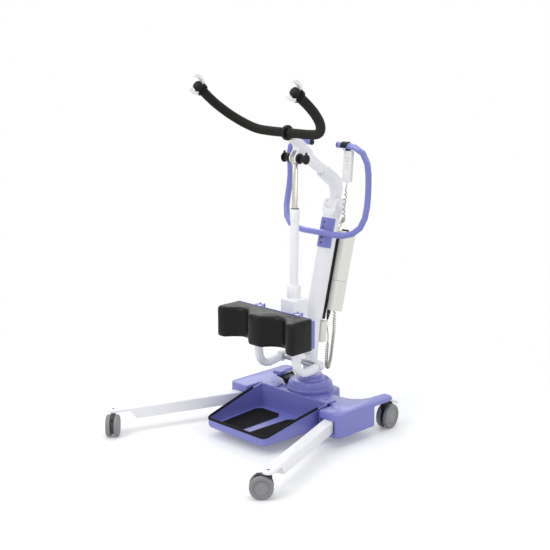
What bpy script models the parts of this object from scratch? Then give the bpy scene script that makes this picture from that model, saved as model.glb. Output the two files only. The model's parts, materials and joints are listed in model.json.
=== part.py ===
"""Electric stand-up patient lift.

Metres, +Z up.  The patient stands on the -Y side, the attendant on the +Y side, and the lift is
symmetric about X = 0.  The legs are spread, the castors are turned and the boom stands half way
up.  Each moving piece, or the empty that carries it, has its origin on its joint's axis.
"""

import math

import bmesh
import bpy
from mathutils import Matrix, Vector

for old in list(bpy.data.objects):
    bpy.data.objects.remove(old, do_unlink=True)

# fits
GAP = 0.0003  # between faces that touch
RUN = 0.0010  # beside a face that slides or turns
CENTRE_SHIFT = -0.0175  # puts the origin under the middle of the footprint

# chassis
CHASSIS_LOW = 0.036
CHASSIS_TOP = 0.125
CHASSIS_FRONT = 0.178
WING_FRONT = 0.100
WING_REAR = 0.412
WING_OUT = 0.283
TIP_IN = 0.232
BAY_REAR = 0.268
HUB_HALF = 0.088
HUB_REAR = 0.350
SHOULDER = 0.010

# legs
SPREAD = math.radians(20)
SPREAD_LEAST = math.radians(3)
SPREAD_MOST = math.radians(22)
LEG_PIVOT_X = 0.215
LEG_PIVOT_Y = 0.155
LEG_REACH = 0.553
LEG_WIDTH = 0.042
LEG_HEIGHT = 0.045
LEG_LOW = 0.052
LEG_TOP = LEG_LOW + LEG_HEIGHT
LEG_CUT_TOP = 0.058
LEG_CUT_LOW = 0.083
TONGUE = 0.011
LEG_SWING_ROOM = 0.003
LEG_BOLT = 0.008
LEG_BOLT_HEAD = 0.015
LEG_BOLT_HEAD_H = 0.006
LEG_BOLT_RISE = 0.013

# castors
FRONT_WHEEL = 0.040
FRONT_TREAD = 0.016
FRONT_TRAIL = 0.022
FRONT_TURN_LEFT = math.radians(-135)
FRONT_TURN_RIGHT = math.radians(135)
REAR_WHEEL = 0.046
REAR_TREAD = 0.016
REAR_TRAIL = 0.025
REAR_TURN = math.radians(9)
REAR_X = 0.262
REAR_Y = 0.376
HOOD = 0.013
WHEEL_GAP = 0.0010
AXLE = 0.0055
COLLAR = 0.0125
STUD = 0.0055
WELL = 0.083
WELL_TOP = 0.112
BRAKE_REACH = 0.034
BRAKE_WIDTH = 0.030

# turret and boss
TURRET_Y = 0.255
TURRET_R = 0.088
TURRET_H = 0.040
BOSS_R = 0.046
BOSS_BACK = 0.006
BOSS_H = 0.060

# the post leans back, and a little above its lock housing it bends into the mast's steeper lean
POST_LEAN = math.radians(4.75)
POST_Y = 0.2497
POST_Z = 0.165
BEND_RISE = 0.2226
MAST_LEAN = math.radians(14)
MAST_Y = POST_Y + BEND_RISE * (math.tan(POST_LEAN) - math.tan(MAST_LEAN))
MAST_Z = POST_Z
POST_W = 0.044
POST_D = 0.052
POST_R = 0.018
POST_LOW = -0.0330
TUBE_LOW = 0.237
TUBE_TOP = 0.627
TUBE_W = 0.052
TUBE_D = 0.063
TUBE_R = 0.021
POST_LAP = 0.060
LOCK_W = 0.045
LOCK_D = 0.034
LOCK_H = 0.080
LOCK_DROP = 0.0067
CAP_H = 0.018
CAP_LIP = 0.002
PLUG_LAP = 0.040

# mast head and boom pivot
PIVOT_V = 0.0046
PIVOT_T = 0.6649
EAR_R = 0.030
EAR_T = 0.016
KNUCKLE_W = 0.031
KNUCKLE_R = 0.029
BOOM_PIN = 0.008
PIN_HEAD = 0.017
PIN_HEAD_H = 0.004

# boom
BOOM_SLOPE = math.radians(35)
ELBOW_RISE = 0.084
ELBOW_BACK = 0.011
SLEEVE = 0.096
SLEEVE_W = 0.046
SLEEVE_D = 0.050
BOOM_W = 0.034
BOOM_D = 0.038
BOOM_R = 0.013
BOOM_END = 0.232
BOOM_LAP = 0.050
HEAD_W = 0.036
EYE_BACK = 0.209
EYE_RISE = 0.194
EYE_R = 0.0135
EYE_W = 0.018
SPINDLE = 0.006
PEG_FLANGE = 0.019
PEG_HUB = 0.0105
PEG_THICK = 0.008
PEG_SPAN = 0.024
PEG_CAP = 0.008
PEG_KEEPER = 0.0055

# spreader bar like cow horns
HORN_BACK = 0.250
HORN_RISE = 0.288
HORN_SLOPE = math.radians(38)
HORN_HALF = 0.240
HORN_LENGTH = 0.268
HORN_FLAT = 0.120
HORN_STRAIGHT = 0.054
BAR_R = 0.0115
GRIP_R = 0.0170
GRIP_END_CAP = 0.003
CLAMP_R = 0.0275
CLAMP_W = 0.014
HOOK_OUT = 0.036
HOOK_IN = 0.025
HOOK_T = 0.012
HOOK_AHEAD = 0.003
HOOK_BAND = 0.0040

# actuator, leaning back a little
ACT_Y = 0.161
ACT_Z = 0.325
ACT_LEAN = math.radians(0.85)
MOTOR_W = 0.075
MOTOR_FRONT = 0.034
MOTOR_BACK = 0.041
MOTOR_LOW = 0.020
MOTOR_TOP = 0.167
ACT_EYE = 0.012
ACT_EYE_W = 0.020
ACT_PIN = 0.006
ACT_CHEEK = 0.005
COLLAR_R = 0.026
COLLAR_H = 0.048
BARREL_R = 0.0155
BARREL_TOP = 0.453
NECK_R = 0.0175
NECK_TOP = 0.496
BORE = 0.0142
BORE_LOW = 0.235
ROD_R = 0.0105
ROD_LOW = 0.365

# push handle
HANDLE_T = 0.5575
HANDLE_R = 0.0118
HANDLE_HALF = 0.198
HANDLE_RISE = 0.327
HANDLE_BACK = 0.0414
HANDLE_END = 0.066
HANDLE_PLUG = 0.0045
BRACKET_WALL = 0.003
BRACKET_DEEP = 0.028
BRACKET_H = 0.110
BRACKET_UP = 0.003

# control unit on the back of the mast
RAIL_W = 0.036
RAIL_D = 0.0145
RAIL_LOW = 0.240
RAIL_TOP = 0.550
UNIT_W = 0.087
UNIT_D = 0.063
UNIT_LOW = 0.277
UNIT_SPLIT = 0.391
UNIT_TOP = 0.577
UNIT_R = 0.010
LATCH_W = 0.030
LATCH_D = 0.012
LATCH_H = 0.007
STOP_T = 0.318
STOP_X = 0.010
STOP_R = 0.013

# handset
SET_X = 0.114
SET_W = 0.040
SET_D = 0.018
SET_H = 0.112
SET_LEAN = math.radians(5)
SET_FRONT = 0.003
SET_DROP = 0.0173
BUTTON = 0.013
BUTTON_TRAVEL = 0.0012
HOOK_STRAP = 0.026
HOOK_ASIDE = 0.012
STRAP_WALL = 0.0025
STRAP_SAG = 0.0018
STRAP_PLATE = 0.0022

# handset cord
CORD_R = 0.0021
COIL_R = 0.0052
PLUG_L = 0.040
PLUG_R = 0.0075

# knee rest
KNEE_HALF = 0.190
KNEE_LOW = 0.350
KNEE_HIGH = 0.468
KNEE_PLATE = 0.004
CUSHION_HALF = 0.199
CUSHION_DEEP = 0.100
RECESS = 0.048
RECESS_X = 0.094
RECESS_HALF = 0.070
ARM_X = 0.0956
ARM_W = 0.028
ARM_D = 0.030
ARM_R = 0.010
ARM_Y = 0.079
ARM_TOP = 0.462
ARM_LOW_Z = 0.2355
ARM_BEND = 0.050
LUG_R = 0.0205
KNEE_BOLT_Y = 0.1995
KNEE_BOLT_Z = 0.2460
KNEE_BOLT = 0.006
KNEE_BOSS = 0.0125
KNEE_BOSS_FOOT = 0.010
KNEE_BOSS_W = 0.036
CLAMP_WALL = 0.003
KNEE_CLAMP_H = 0.091
CLAMP_BELOW = 0.003

# foot tray
TRAY_FRONT = -0.135
TRAY_REAR = 0.1660
TRAY_FRONT_HALF = 0.152
TRAY_REAR_HALF = 0.174
WING_ROOM = 0.013
WING_IN = TRAY_REAR_HALF + WING_ROOM
TRAY_LOW = 0.036
TRAY_FLOOR = 0.006
TRAY_WALL = 0.005
LIP = 0.064
RIM_REAR = 0.128
TRIM_W = 0.009
TRIM_H = 0.007
MAT = 0.003
TAB_IN = 0.092
TAB_BACK = 0.052
TAB_T = 0.004
TAB_HOLE = 0.0062
TAB_PIN = 0.0055

# leg spreading lever
LEVER_X = -0.100
LEVER_Y = 0.236
LEVER_OUT = 0.050
TREAD_W = 0.044
TREAD_L = 0.036

BLUE = ((0.27, 0.27, 0.60), 0.42, 0.0)
WHITE = ((0.82, 0.82, 0.84), 0.36, 0.0)
CREAM = ((0.80, 0.77, 0.69), 0.50, 0.0)
GREY = ((0.27, 0.27, 0.28), 0.55, 0.0)
DARK = ((0.09, 0.09, 0.095), 0.60, 0.0)
BLACK = ((0.020, 0.020, 0.021), 0.50, 0.0)
FOAM = ((0.022, 0.020, 0.018), 0.90, 0.0)
SHELL = ((0.62, 0.63, 0.64), 0.45, 0.0)
CHROME = ((0.78, 0.77, 0.75), 0.12, 1.0)
STEEL = ((0.45, 0.45, 0.46), 0.35, 1.0)
RED = ((0.60, 0.02, 0.02), 0.40, 0.0)
OLIVE = ((0.25, 0.25, 0.21), 0.55, 0.0)


def material(name, finish):
    """A Principled material of its own for the piece called name."""
    colour, roughness, metallic = finish
    made = bpy.data.materials.new(name)
    made.use_nodes = True
    shader = made.node_tree.nodes["Principled BSDF"]
    shader.inputs["Base Color"].default_value = (*colour, 1.0)
    shader.inputs["Roughness"].default_value = roughness
    shader.inputs["Metallic"].default_value = metallic
    made.diffuse_color = (*colour, 1.0)
    return made


def frame(name, at, turn=(0.0, 0.0, 0.0), parent=None):
    """An empty that carries pieces."""
    made = bpy.data.objects.new(name, None)
    bpy.context.collection.objects.link(made)
    made.empty_display_size = 0.03
    made.location = at
    made.rotation_euler = turn
    made.parent = parent
    return made


def add(name, bm, finish, parent, origin=(0.0, 0.0, 0.0), sharp=38.0):
    """A piece from a bmesh in its parent's frame, with its own origin at origin."""
    bmesh.ops.translate(bm, verts=bm.verts, vec=-Vector(origin))
    bmesh.ops.recalc_face_normals(bm, faces=bm.faces)
    mesh = bpy.data.meshes.new(name)
    bm.to_mesh(mesh)
    bm.free()
    made = bpy.data.objects.new(name, mesh)
    bpy.context.collection.objects.link(made)
    made.location = origin
    made.parent = parent
    mesh.materials.append(material(name, finish))
    mesh.shade_smooth()
    mesh.set_sharp_from_angle(angle=math.radians(sharp))
    return made


def combine(piece, bm, operation="DIFFERENCE"):
    """A Boolean of piece with a bmesh given in the frame of piece's parent."""
    bmesh.ops.recalc_face_normals(bm, faces=bm.faces)
    tool = f"{piece.name}_tool_{len(piece.modifiers)}"
    mesh = bpy.data.meshes.new(tool)
    bm.to_mesh(mesh)
    bm.free()
    cutter = bpy.data.objects.new(tool, mesh)
    bpy.context.collection.objects.link(cutter)
    cutter.parent = piece.parent
    cutter.hide_render = True
    cutter.display_type = "WIRE"
    step = piece.modifiers.new(tool, "BOOLEAN")
    step.operation = operation
    step.solver = "EXACT"
    step.object = cutter
    return piece


def join(*parts):
    """Several bmeshes as one, still separate bodies."""
    whole = bmesh.new()
    for bm in parts:
        mesh = bpy.data.meshes.new("part")
        bm.to_mesh(mesh)
        bm.free()
        whole.from_mesh(mesh)
        bpy.data.meshes.remove(mesh)
    return whole


def mirrored(build):
    """The two copies of what build(side) makes, as one bmesh."""
    return join(build(-1.0), build(1.0))


def place(bm, matrix):
    """The bmesh moved by a matrix."""
    bmesh.ops.transform(bm, matrix=matrix, verts=bm.verts)
    bmesh.ops.recalc_face_normals(bm, faces=bm.faces)
    return bm


def skin(rings, wrap=False):
    """A closed body through rings of equally many points; wrap joins the last ring to the first."""
    bm = bmesh.new()
    rows = [[bm.verts.new(p) for p in ring] for ring in rings]
    count = len(rings[0])
    pairs = list(zip(rows, rows[1:]))
    if wrap:
        pairs.append((rows[-1], rows[0]))
    for near, far in pairs:
        for i in range(count):
            j = (i + 1) % count
            bm.faces.new((near[i], near[j], far[j], far[i]))
    if not wrap:
        bm.faces.new(rows[0][::-1])
        bm.faces.new(rows[-1])
    bmesh.ops.recalc_face_normals(bm, faces=bm.faces)
    return bm


def lathe(profile, steps):
    """A body turned about Z from (radius, height) points."""
    bm = bmesh.new()
    points = [bm.verts.new((r, 0.0, z)) for r, z in profile]
    lines = [bm.edges.new(pair) for pair in zip(points, points[1:])]
    bmesh.ops.spin(
        bm,
        geom=points + lines,
        cent=(0.0, 0.0, 0.0),
        axis=(0.0, 0.0, 1.0),
        angle=2.0 * math.pi,
        steps=steps,
        use_duplicate=False,
    )
    bmesh.ops.remove_doubles(bm, verts=bm.verts, dist=1e-6)
    bmesh.ops.recalc_face_normals(bm, faces=bm.faces)
    return bm


def along_x(bm, x=0.0, y=0.0, z=0.0):
    """A body turned about Z laid along X, with a point of its rim straight down."""
    return place(bm, Matrix.Translation((x, y, z)) @ Matrix.Rotation(math.pi / 2, 4, "Y"))


def rod(radius, low, high, steps=16):
    """A plain cylinder about Z."""
    return lathe([(0.0, low), (radius, low), (radius, high), (0.0, high)], steps)


def rounded(corners, steps=3):
    """A closed outline from (x, y, radius) corners."""
    out = []
    count = len(corners)
    for i, (x, y, radius) in enumerate(corners):
        here = Vector((x, y))
        back = Vector(corners[i - 1][:2]) - here
        ahead = Vector(corners[(i + 1) % count][:2]) - here
        if radius <= 0.0:
            out.append((x, y))
            continue
        a, b = back.normalized(), ahead.normalized()
        half = a.angle(b) / 2.0
        reach = min(radius / math.tan(half), 0.49 * back.length, 0.49 * ahead.length)
        size = reach * math.tan(half)
        centre = here + (a + b).normalized() * (size / math.sin(half))
        start = here + a * reach - centre
        turn = math.pi - 2.0 * half
        if a.x * b.y - a.y * b.x > 0.0:
            turn = -turn
        for k in range(steps + 1):
            angle = turn * k / steps
            c, s = math.cos(angle), math.sin(angle)
            out.append((centre.x + start.x * c - start.y * s, centre.y + start.x * s + start.y * c))
    return out


def oval(width, depth, radius, steps=3):
    """A rounded rectangle about the origin."""
    w, d = width / 2.0, depth / 2.0
    return rounded([(w, -d, radius), (w, d, radius), (-w, d, radius), (-w, -d, radius)], steps)


def arc(cx, cy, radius, start, stop, steps):
    """Points on an arc, angles in degrees."""
    out = []
    for k in range(steps + 1):
        angle = math.radians(start + (stop - start) * k / steps)
        out.append((cx + radius * math.cos(angle), cy + radius * math.sin(angle)))
    return out


def prism(outline, low, high):
    """An outline in XY, extruded along Z."""
    bm = bmesh.new()
    base = bm.faces.new([bm.verts.new((x, y, low)) for x, y in outline])
    grown = bmesh.ops.extrude_face_region(bm, geom=[base])
    tops = [item for item in grown["geom"] if isinstance(item, bmesh.types.BMVert)]
    bmesh.ops.translate(bm, verts=tops, vec=(0.0, 0.0, high - low))
    bmesh.ops.recalc_face_normals(bm, faces=bm.faces)
    return bm


def side_prism(outline, left, right):
    """An outline in YZ, extruded along X."""
    bm = prism(outline, left, right)
    swap = Matrix(((0, 0, 1, 0), (1, 0, 0, 0), (0, 1, 0, 0), (0, 0, 0, 1)))
    return place(bm, swap)


def block(low, high):
    """A box between two corners."""
    outline = [(low[0], low[1]), (high[0], low[1]), (high[0], high[1]), (low[0], high[1])]
    return prism(outline, low[2], high[2])


def soften(bm, width, steps, pick):
    """Bevels the edges that pick(edge) chooses."""
    edges = [edge for edge in bm.edges if pick(edge)]
    bmesh.ops.bevel(
        bm, geom=edges, offset=width, segments=steps, profile=0.5, affect="EDGES", clamp_overlap=True
    )
    return bm


def level(height, slack=1e-5):
    """Picks the edges that lie at one height."""
    return lambda edge: all(abs(v.co.z - height) < slack for v in edge.verts)


def sections(path, outlines, across):
    """Rings of the outlines (one for each point) square to a flat path; across is its normal."""
    path = [Vector(p) for p in path]
    across = Vector(across).normalized()
    rings = []
    for i, here in enumerate(path):
        ahead = path[min(i + 1, len(path) - 1)] - path[max(i - 1, 0)]
        out = ahead.normalized().cross(across)
        rings.append([here + across * a + out * b for a, b in outlines[i]])
    return rings


def bar(path, outline, across):
    """One outline swept along a flat path."""
    return skin(sections(path, [outline] * len(path), across))


def smooth(points, pieces):
    """A smooth line through points, with pieces steps in each span."""
    p = [Vector(q) for q in points]
    p = [2 * p[0] - p[1]] + p + [2 * p[-1] - p[-2]]
    out = []
    for i in range(1, len(p) - 2):
        a, b, c, d = p[i - 1], p[i], p[i + 1], p[i + 2]
        for k in range(pieces):
            t = k / pieces
            out.append(
                0.5
                * (
                    2.0 * b
                    + (c - a) * t
                    + (2.0 * a - 5.0 * b + 4.0 * c - d) * t * t
                    + (3.0 * b - a - 3.0 * c + d) * t * t * t
                )
            )
    out.append(p[-2])
    return out


def spaced(points, step):
    """The same line with points at even distances of about step."""
    lengths = [0.0]
    for a, b in zip(points, points[1:]):
        lengths.append(lengths[-1] + (b - a).length)
    count = max(2, round(lengths[-1] / step))
    out = []
    spot = 0
    for k in range(count + 1):
        want = lengths[-1] * k / count
        while spot < len(points) - 2 and lengths[spot + 1] < want:
            spot += 1
        span = lengths[spot + 1] - lengths[spot]
        out.append(points[spot].lerp(points[spot + 1], (want - lengths[spot]) / span))
    return out


def tangents(points):
    """The line's direction at each of its points."""
    out = []
    for i in range(len(points)):
        out.append((points[min(i + 1, len(points) - 1)] - points[max(i - 1, 0)]).normalized())
    return out


def carried(points, first):
    """A side vector for each point of a line, carried along it without twist."""
    ways = tangents(points)
    side = (first - ways[0] * first.dot(ways[0])).normalized()
    out = []
    for way in ways:
        side = (side - way * side.dot(way)).normalized()
        out.append(side)
    return out


def wire(name, points, radius, finish, parent, resolution=3):
    """A round tube or cord along points, with closed ends."""
    curve = bpy.data.curves.new(name, "CURVE")
    curve.dimensions = "3D"
    line = curve.splines.new("POLY")
    line.points.add(len(points) - 1)
    for knot, point in zip(line.points, points):
        knot.co = (*point, 1.0)
    curve.bevel_depth = radius
    curve.bevel_resolution = resolution
    curve.use_fill_caps = True
    made = bpy.data.objects.new(name, curve)
    bpy.context.collection.objects.link(made)
    made.parent = parent
    curve.materials.append(material(name, finish))
    return made


def turned_rings(points, first, radii, sides):
    """Round rings of the given radii along a line."""
    ways = tangents(points)
    rings = []
    for here, way, side, radius in zip(points, ways, carried(points, first), radii):
        up = way.cross(side)
        ring = []
        for k in range(sides):
            angle = 2.0 * math.pi * k / sides
            ring.append(here + (side * math.cos(angle) + up * math.sin(angle)) * radius)
        rings.append(ring)
    return rings


SIDES = (("left", -1.0), ("right", 1.0))
ROOT = frame("lift", (0.0, CENTRE_SHIFT, 0.0))
POST = frame("post_frame", (0.0, POST_Y, POST_Z), (-POST_LEAN, 0.0, 0.0), ROOT)
MAST = frame("mast_frame", (0.0, MAST_Y, MAST_Z), (-MAST_LEAN, 0.0, 0.0), ROOT)


def mast_point(x, v, t):
    """A point of the mast's frame, in the lift's frame."""
    c, s = math.cos(MAST_LEAN), math.sin(MAST_LEAN)
    return Vector((x, MAST_Y + v * c + t * s, MAST_Z - v * s + t * c))


def on_post(y, z):
    """Where a point of the lift's YZ plane lies across and along the post."""
    c, s = math.cos(POST_LEAN), math.sin(POST_LEAN)
    return (y - POST_Y) * c - (z - POST_Z) * s, (y - POST_Y) * s + (z - POST_Z) * c


# chassis: one moulded body with two wings, leg mouths and castor wells
def chassis_half(side):
    """Corners of one half, from the front middle to the rear middle."""
    corners = [
        (WING_IN, CHASSIS_FRONT, 0.006),
        (WING_IN, WING_FRONT, 0.008),
        (WING_OUT, WING_FRONT, 0.024),
        (WING_OUT, WING_REAR, 0.030),
        (TIP_IN, WING_REAR, 0.012),
        (TIP_IN - 0.012, BAY_REAR, 0.078),
        (HUB_HALF, BAY_REAR, 0.012),
        (HUB_HALF, HUB_REAR, 0.060),
    ]
    return [(side * x, y, r) for x, y, r in corners]


def leg_mouth(side):
    """The space that one leg sweeps, with room around it."""
    half = LEG_WIDTH / 2.0 + LEG_SWING_ROOM
    far = LEG_REACH * 0.3
    most, least = math.degrees(SPREAD_MOST), math.degrees(SPREAD_LEAST)
    points = arc(LEG_PIVOT_X, LEG_PIVOT_Y, half, most, 180.0 + least, 8)
    (x0, y0), (x1, y1) = points[0], points[-1]
    points.append((x1 + far * math.sin(SPREAD_LEAST), y1 - far * math.cos(SPREAD_LEAST)))
    points.append((x0 + far * math.sin(SPREAD_MOST), y0 - far * math.cos(SPREAD_MOST)))
    return prism([(side * x, y) for x, y in points], LEG_LOW - RUN, LEG_TOP + RUN)


def castor_well(side):
    """The round space over one rear castor."""
    profile = [
        (0.0, -0.01),
        (WELL, -0.01),
        (WELL, WELL_TOP - 0.004),
        (WELL - 0.006, WELL_TOP),
        (0.0, WELL_TOP),
    ]
    return place(lathe(profile, 20), Matrix.Translation((side * REAR_X, REAR_Y, 0.0)))


def chassis_pockets(side):
    """Bolt bore through the floor and stud bore in the roof of the well."""
    bolt = rod(LEG_BOLT + GAP, CHASSIS_LOW - 0.01, LEG_TOP + LEG_BOLT_RISE + GAP, 14)
    bolt = place(bolt, Matrix.Translation((side * LEG_PIVOT_X, LEG_PIVOT_Y, 0.0)))
    stud = rod(STUD + GAP, WELL_TOP - 0.01, WELL_TOP + 0.008, 12)
    stud = place(stud, Matrix.Translation((side * REAR_X, REAR_Y, 0.0)))
    return join(bolt, stud)


outline = rounded(chassis_half(1.0) + chassis_half(-1.0)[::-1], 3)
body = prism(outline, CHASSIS_LOW, CHASSIS_TOP)
soften(body, SHOULDER, 2, level(CHASSIS_TOP))
soften(body, 0.003, 1, level(CHASSIS_LOW))
chassis = add("chassis", body, BLUE, ROOT)
combine(chassis, mirrored(leg_mouth))
combine(chassis, mirrored(castor_well))
combine(chassis, mirrored(chassis_pockets))

# turret: stepped cover around the foot of the mast
turret_low = CHASSIS_TOP + GAP
turret_top = CHASSIS_TOP + TURRET_H
profile = [
    (0.0, turret_low),
    (TURRET_R, turret_low),
    (TURRET_R, turret_low + 0.012),
    (TURRET_R - 0.0035, turret_low + 0.014),
    (TURRET_R - 0.005, turret_low + 0.029),
    (TURRET_R - 0.018, turret_top),
    (0.0, turret_top),
]
cover = place(lathe(profile, 24), Matrix.Translation((0.0, TURRET_Y, 0.0)))
turret = add("turret", cover, BLUE, ROOT)
boss_top = CHASSIS_TOP + BOSS_H
boss = lathe(
    [
        (0.0, turret_low + 0.02),
        (BOSS_R + 0.008, turret_low + 0.02),
        (BOSS_R + 0.008, turret_top + 0.003),
        (BOSS_R, turret_top + 0.006),
        (BOSS_R, boss_top - 0.004),
        (BOSS_R - 0.004, boss_top),
        (0.0, boss_top),
    ],
    20,
)
boss_y = POST_Y + (boss_top - POST_Z) * math.tan(POST_LEAN) + BOSS_BACK
combine(turret, place(boss, Matrix.Translation((0.0, boss_y, 0.0))), "UNION")
LEAN = Matrix.Translation((0.0, POST_Y, POST_Z)) @ Matrix.Rotation(-POST_LEAN, 4, "X")
hole = prism(oval(POST_W + 2 * GAP, POST_D + 2 * GAP, POST_R + GAP, 4), -0.12, 0.12)
combine(turret, place(hole, LEAN))

# legs: rectangular tubes with a slanted notch and a tongue over the castor
def leg_body(side):
    """One leg in its pivot's frame, pointing along -Y."""
    half = LEG_WIDTH / 2.0
    plan = rounded(
        [
            (half, half, half * 0.95),
            (-half, half, half * 0.95),
            (-half, -LEG_REACH - half, half * 0.95),
            (half, -LEG_REACH - half, half * 0.95),
        ],
        4,
    )
    bm = prism(plan, LEG_LOW, LEG_TOP)
    soften(bm, 0.003, 1, lambda e: level(LEG_LOW)(e) or level(LEG_TOP)(e))
    return bm


def leg_notch():
    """What is missing under the tongue."""
    low = LEG_LOW - 0.01
    slope = (LEG_CUT_LOW - LEG_CUT_TOP) / (LEG_HEIGHT - TONGUE)
    return side_prism(
        [
            (-LEG_REACH - 0.1, low),
            (-LEG_REACH + LEG_CUT_LOW + slope * 0.01, low),
            (-LEG_REACH + LEG_CUT_TOP, LEG_TOP - TONGUE),
            (-LEG_REACH - 0.1, LEG_TOP - TONGUE),
        ],
        -0.05,
        0.05,
    )


legs = {}
for word, side in SIDES:
    at = (side * LEG_PIVOT_X, LEG_PIVOT_Y, 0.0)
    carrier = frame(f"leg_frame_{word}", at, (0.0, 0.0, side * SPREAD), ROOT)
    legs[word] = carrier
    leg = add(f"leg_{word}", leg_body(side), WHITE, carrier)
    combine(leg, leg_notch())
    bores = join(
        rod(LEG_BOLT + RUN / 2, LEG_LOW - 0.01, LEG_TOP + 0.01, 14),
        place(rod(STUD + GAP, LEG_LOW, LEG_TOP + 0.01, 12), Matrix.Translation((0.0, -LEG_REACH, 0.0))),
    )
    combine(leg, bores)


def leg_bolt(side):
    """Head under the chassis floor, shank up through the leg into the wing."""
    top = LEG_TOP + LEG_BOLT_RISE
    bottom = CHASSIS_LOW - GAP
    shape = lathe(
        [
            (0.0, bottom - LEG_BOLT_HEAD_H),
            (LEG_BOLT_HEAD - 0.002, bottom - LEG_BOLT_HEAD_H),
            (LEG_BOLT_HEAD, bottom - LEG_BOLT_HEAD_H + 0.002),
            (LEG_BOLT_HEAD, bottom),
            (LEG_BOLT, bottom),
            (LEG_BOLT, top),
            (0.0, top),
        ],
        14,
    )
    return place(shape, Matrix.Translation((side * LEG_PIVOT_X, LEG_PIVOT_Y, 0.0)))


for word, side in SIDES:
    at = (side * LEG_PIVOT_X, LEG_PIVOT_Y, CHASSIS_LOW)
    add(f"leg_bolt_{word}", leg_bolt(side), STEEL, ROOT, at)


# castors: twin wheels on a hood, swivelling on a stud
def wheel_pair(radius, tread):
    """Two wheels on one axle, turned about X."""
    inner = HOOD / 2.0 + WHEEL_GAP
    outer = inner + tread
    half = [
        (0.0, outer - 0.0035),
        (radius * 0.62, outer - 0.0035),
        (radius * 0.70, outer),
        (radius - 0.003, outer),
        (radius, outer - 0.004),
        (radius, inner),
        (AXLE, inner),
    ]
    profile = [(r, -a) for r, a in half] + half[::-1]
    return lathe(profile, 16)


def hood(radius, trail, top):
    """The body between the wheels: a shell over the axle and a collar under the stud."""
    reach = radius * 0.84
    rise = radius
    plate = arc(trail, rise, reach, -48.0, 200.0, 9)
    plate = [(y, min(z, top - 0.006)) for y, z in plate]
    return side_prism(plate, -HOOD / 2.0, HOOD / 2.0)


def castor(word, carrier, wheel, heights, finish):
    """Fork and wheels in the frame of the swivel; local +Y is where the wheels trail."""
    radius, tread, trail = wheel
    top, stud_top = heights
    low = 2.0 * radius + 0.0015
    fork = add(f"{word}_fork", hood(radius, trail, top), finish, carrier)
    collar = lathe(
        [
            (0.0, low),
            (COLLAR, low),
            (COLLAR, top - GAP),
            (STUD, top - GAP),
            (STUD, stud_top),
            (0.0, stud_top),
        ],
        12,
    )
    combine(fork, collar, "UNION")
    arch = side_prism(
        rounded(
            [
                (-COLLAR, low + 0.002, 0.0),
                (trail + radius * 0.40, low + 0.002, 0.004),
                (trail + radius * 0.66, low - 0.010, 0.004),
                (trail, radius * 0.8, 0.0),
                (-COLLAR, low - 0.012, 0.0),
            ],
            2,
        ),
        -HOOD / 2.0,
        HOOD / 2.0,
    )
    combine(fork, arch, "UNION")
    bore = along_x(rod(AXLE + GAP, -HOOD, HOOD, 12), 0.0, trail, radius)
    combine(fork, bore)
    hub = frame(f"{word}_axle", (0.0, trail, radius), (0.0, 0.0, 0.0), carrier)
    add(f"{word}_wheels", along_x(wheel_pair(radius, tread)), GREY, hub)


FRONT_TOP = LEG_TOP - TONGUE
for word, side, turn in (("left", -1.0, FRONT_TURN_LEFT), ("right", 1.0, FRONT_TURN_RIGHT)):
    carrier = frame(
        f"front_swivel_{word}",
        (0.0, -LEG_REACH, 0.0),
        (0.0, 0.0, turn - side * SPREAD),
        legs[word],
    )
    castor(
        f"front_{word}",
        carrier,
        (FRONT_WHEEL, FRONT_TREAD, FRONT_TRAIL),
        (FRONT_TOP, LEG_TOP - 0.001),
        DARK,
    )

for word, side in SIDES:
    at = (side * REAR_X, REAR_Y, 0.0)
    carrier = frame(f"rear_swivel_{word}", at, (0.0, 0.0, REAR_TURN * side), ROOT)
    castor(
        f"rear_{word}",
        carrier,
        (REAR_WHEEL, REAR_TREAD, REAR_TRAIL),
        (WELL_TOP, WELL_TOP + 0.007),
        BLACK,
    )
    # the brake pedal tips on the back of the hood, above the wheels
    brake_y = REAR_TRAIL + 0.030
    brake_z = REAR_WHEEL * 2.0 + 0.0060
    tip = frame(f"brake_axis_{word}", (0.0, brake_y - 0.012, brake_z - 0.002), parent=carrier)
    pedal = side_prism(
        rounded(
            [
                (-0.006, 0.001, 0.002),
                (BRAKE_REACH * 0.55, -0.004, 0.010),
                (BRAKE_REACH, -0.016, 0.003),
                (BRAKE_REACH + 0.003, -0.013, 0.003),
                (BRAKE_REACH * 0.6, 0.002, 0.010),
                (-0.006, 0.006, 0.002),
            ],
            3,
        ),
        -BRAKE_WIDTH / 2.0,
        BRAKE_WIDTH / 2.0,
    )
    add(f"rear_{word}_brake", pedal, SHELL, tip)

# mast: post, lock housing and oval tube
bend_t = BEND_RISE / math.cos(POST_LEAN)
above = TUBE_LOW + POST_LAP - BEND_RISE / math.cos(MAST_LEAN)
tip = Vector((0.0, math.sin(MAST_LEAN - POST_LEAN), math.cos(MAST_LEAN - POST_LEAN)))
bend = Vector((0.0, 0.0, bend_t))
post_path = [
    Vector((0.0, 0.0, POST_LOW)),
    bend - Vector((0.0, 0.0, 0.002)),
    bend + tip * 0.002,
    bend + tip * above,
]
post = add("mast_post", bar(post_path, oval(POST_W, POST_D, POST_R, 4), (1.0, 0.0, 0.0)), WHITE, POST)
bolt_v, bolt_t = on_post(KNEE_BOLT_Y, KNEE_BOLT_Z)
# the boss on its front that carries the knee rest's bolt
carry = arc(bolt_v, bolt_t, KNEE_BOSS, 90.0, 270.0, 8)
inside = -POST_D / 2.0 + 0.006
foot = KNEE_BOSS + KNEE_BOSS_FOOT
carry += [(inside, bolt_t - foot), (inside, bolt_t + foot)]
combine(post, side_prism(carry, -KNEE_BOSS_W / 2.0, KNEE_BOSS_W / 2.0), "UNION")
combine(post, along_x(rod(KNEE_BOLT + GAP, -0.05, 0.05, 16), 0.0, bolt_v, bolt_t))

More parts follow.
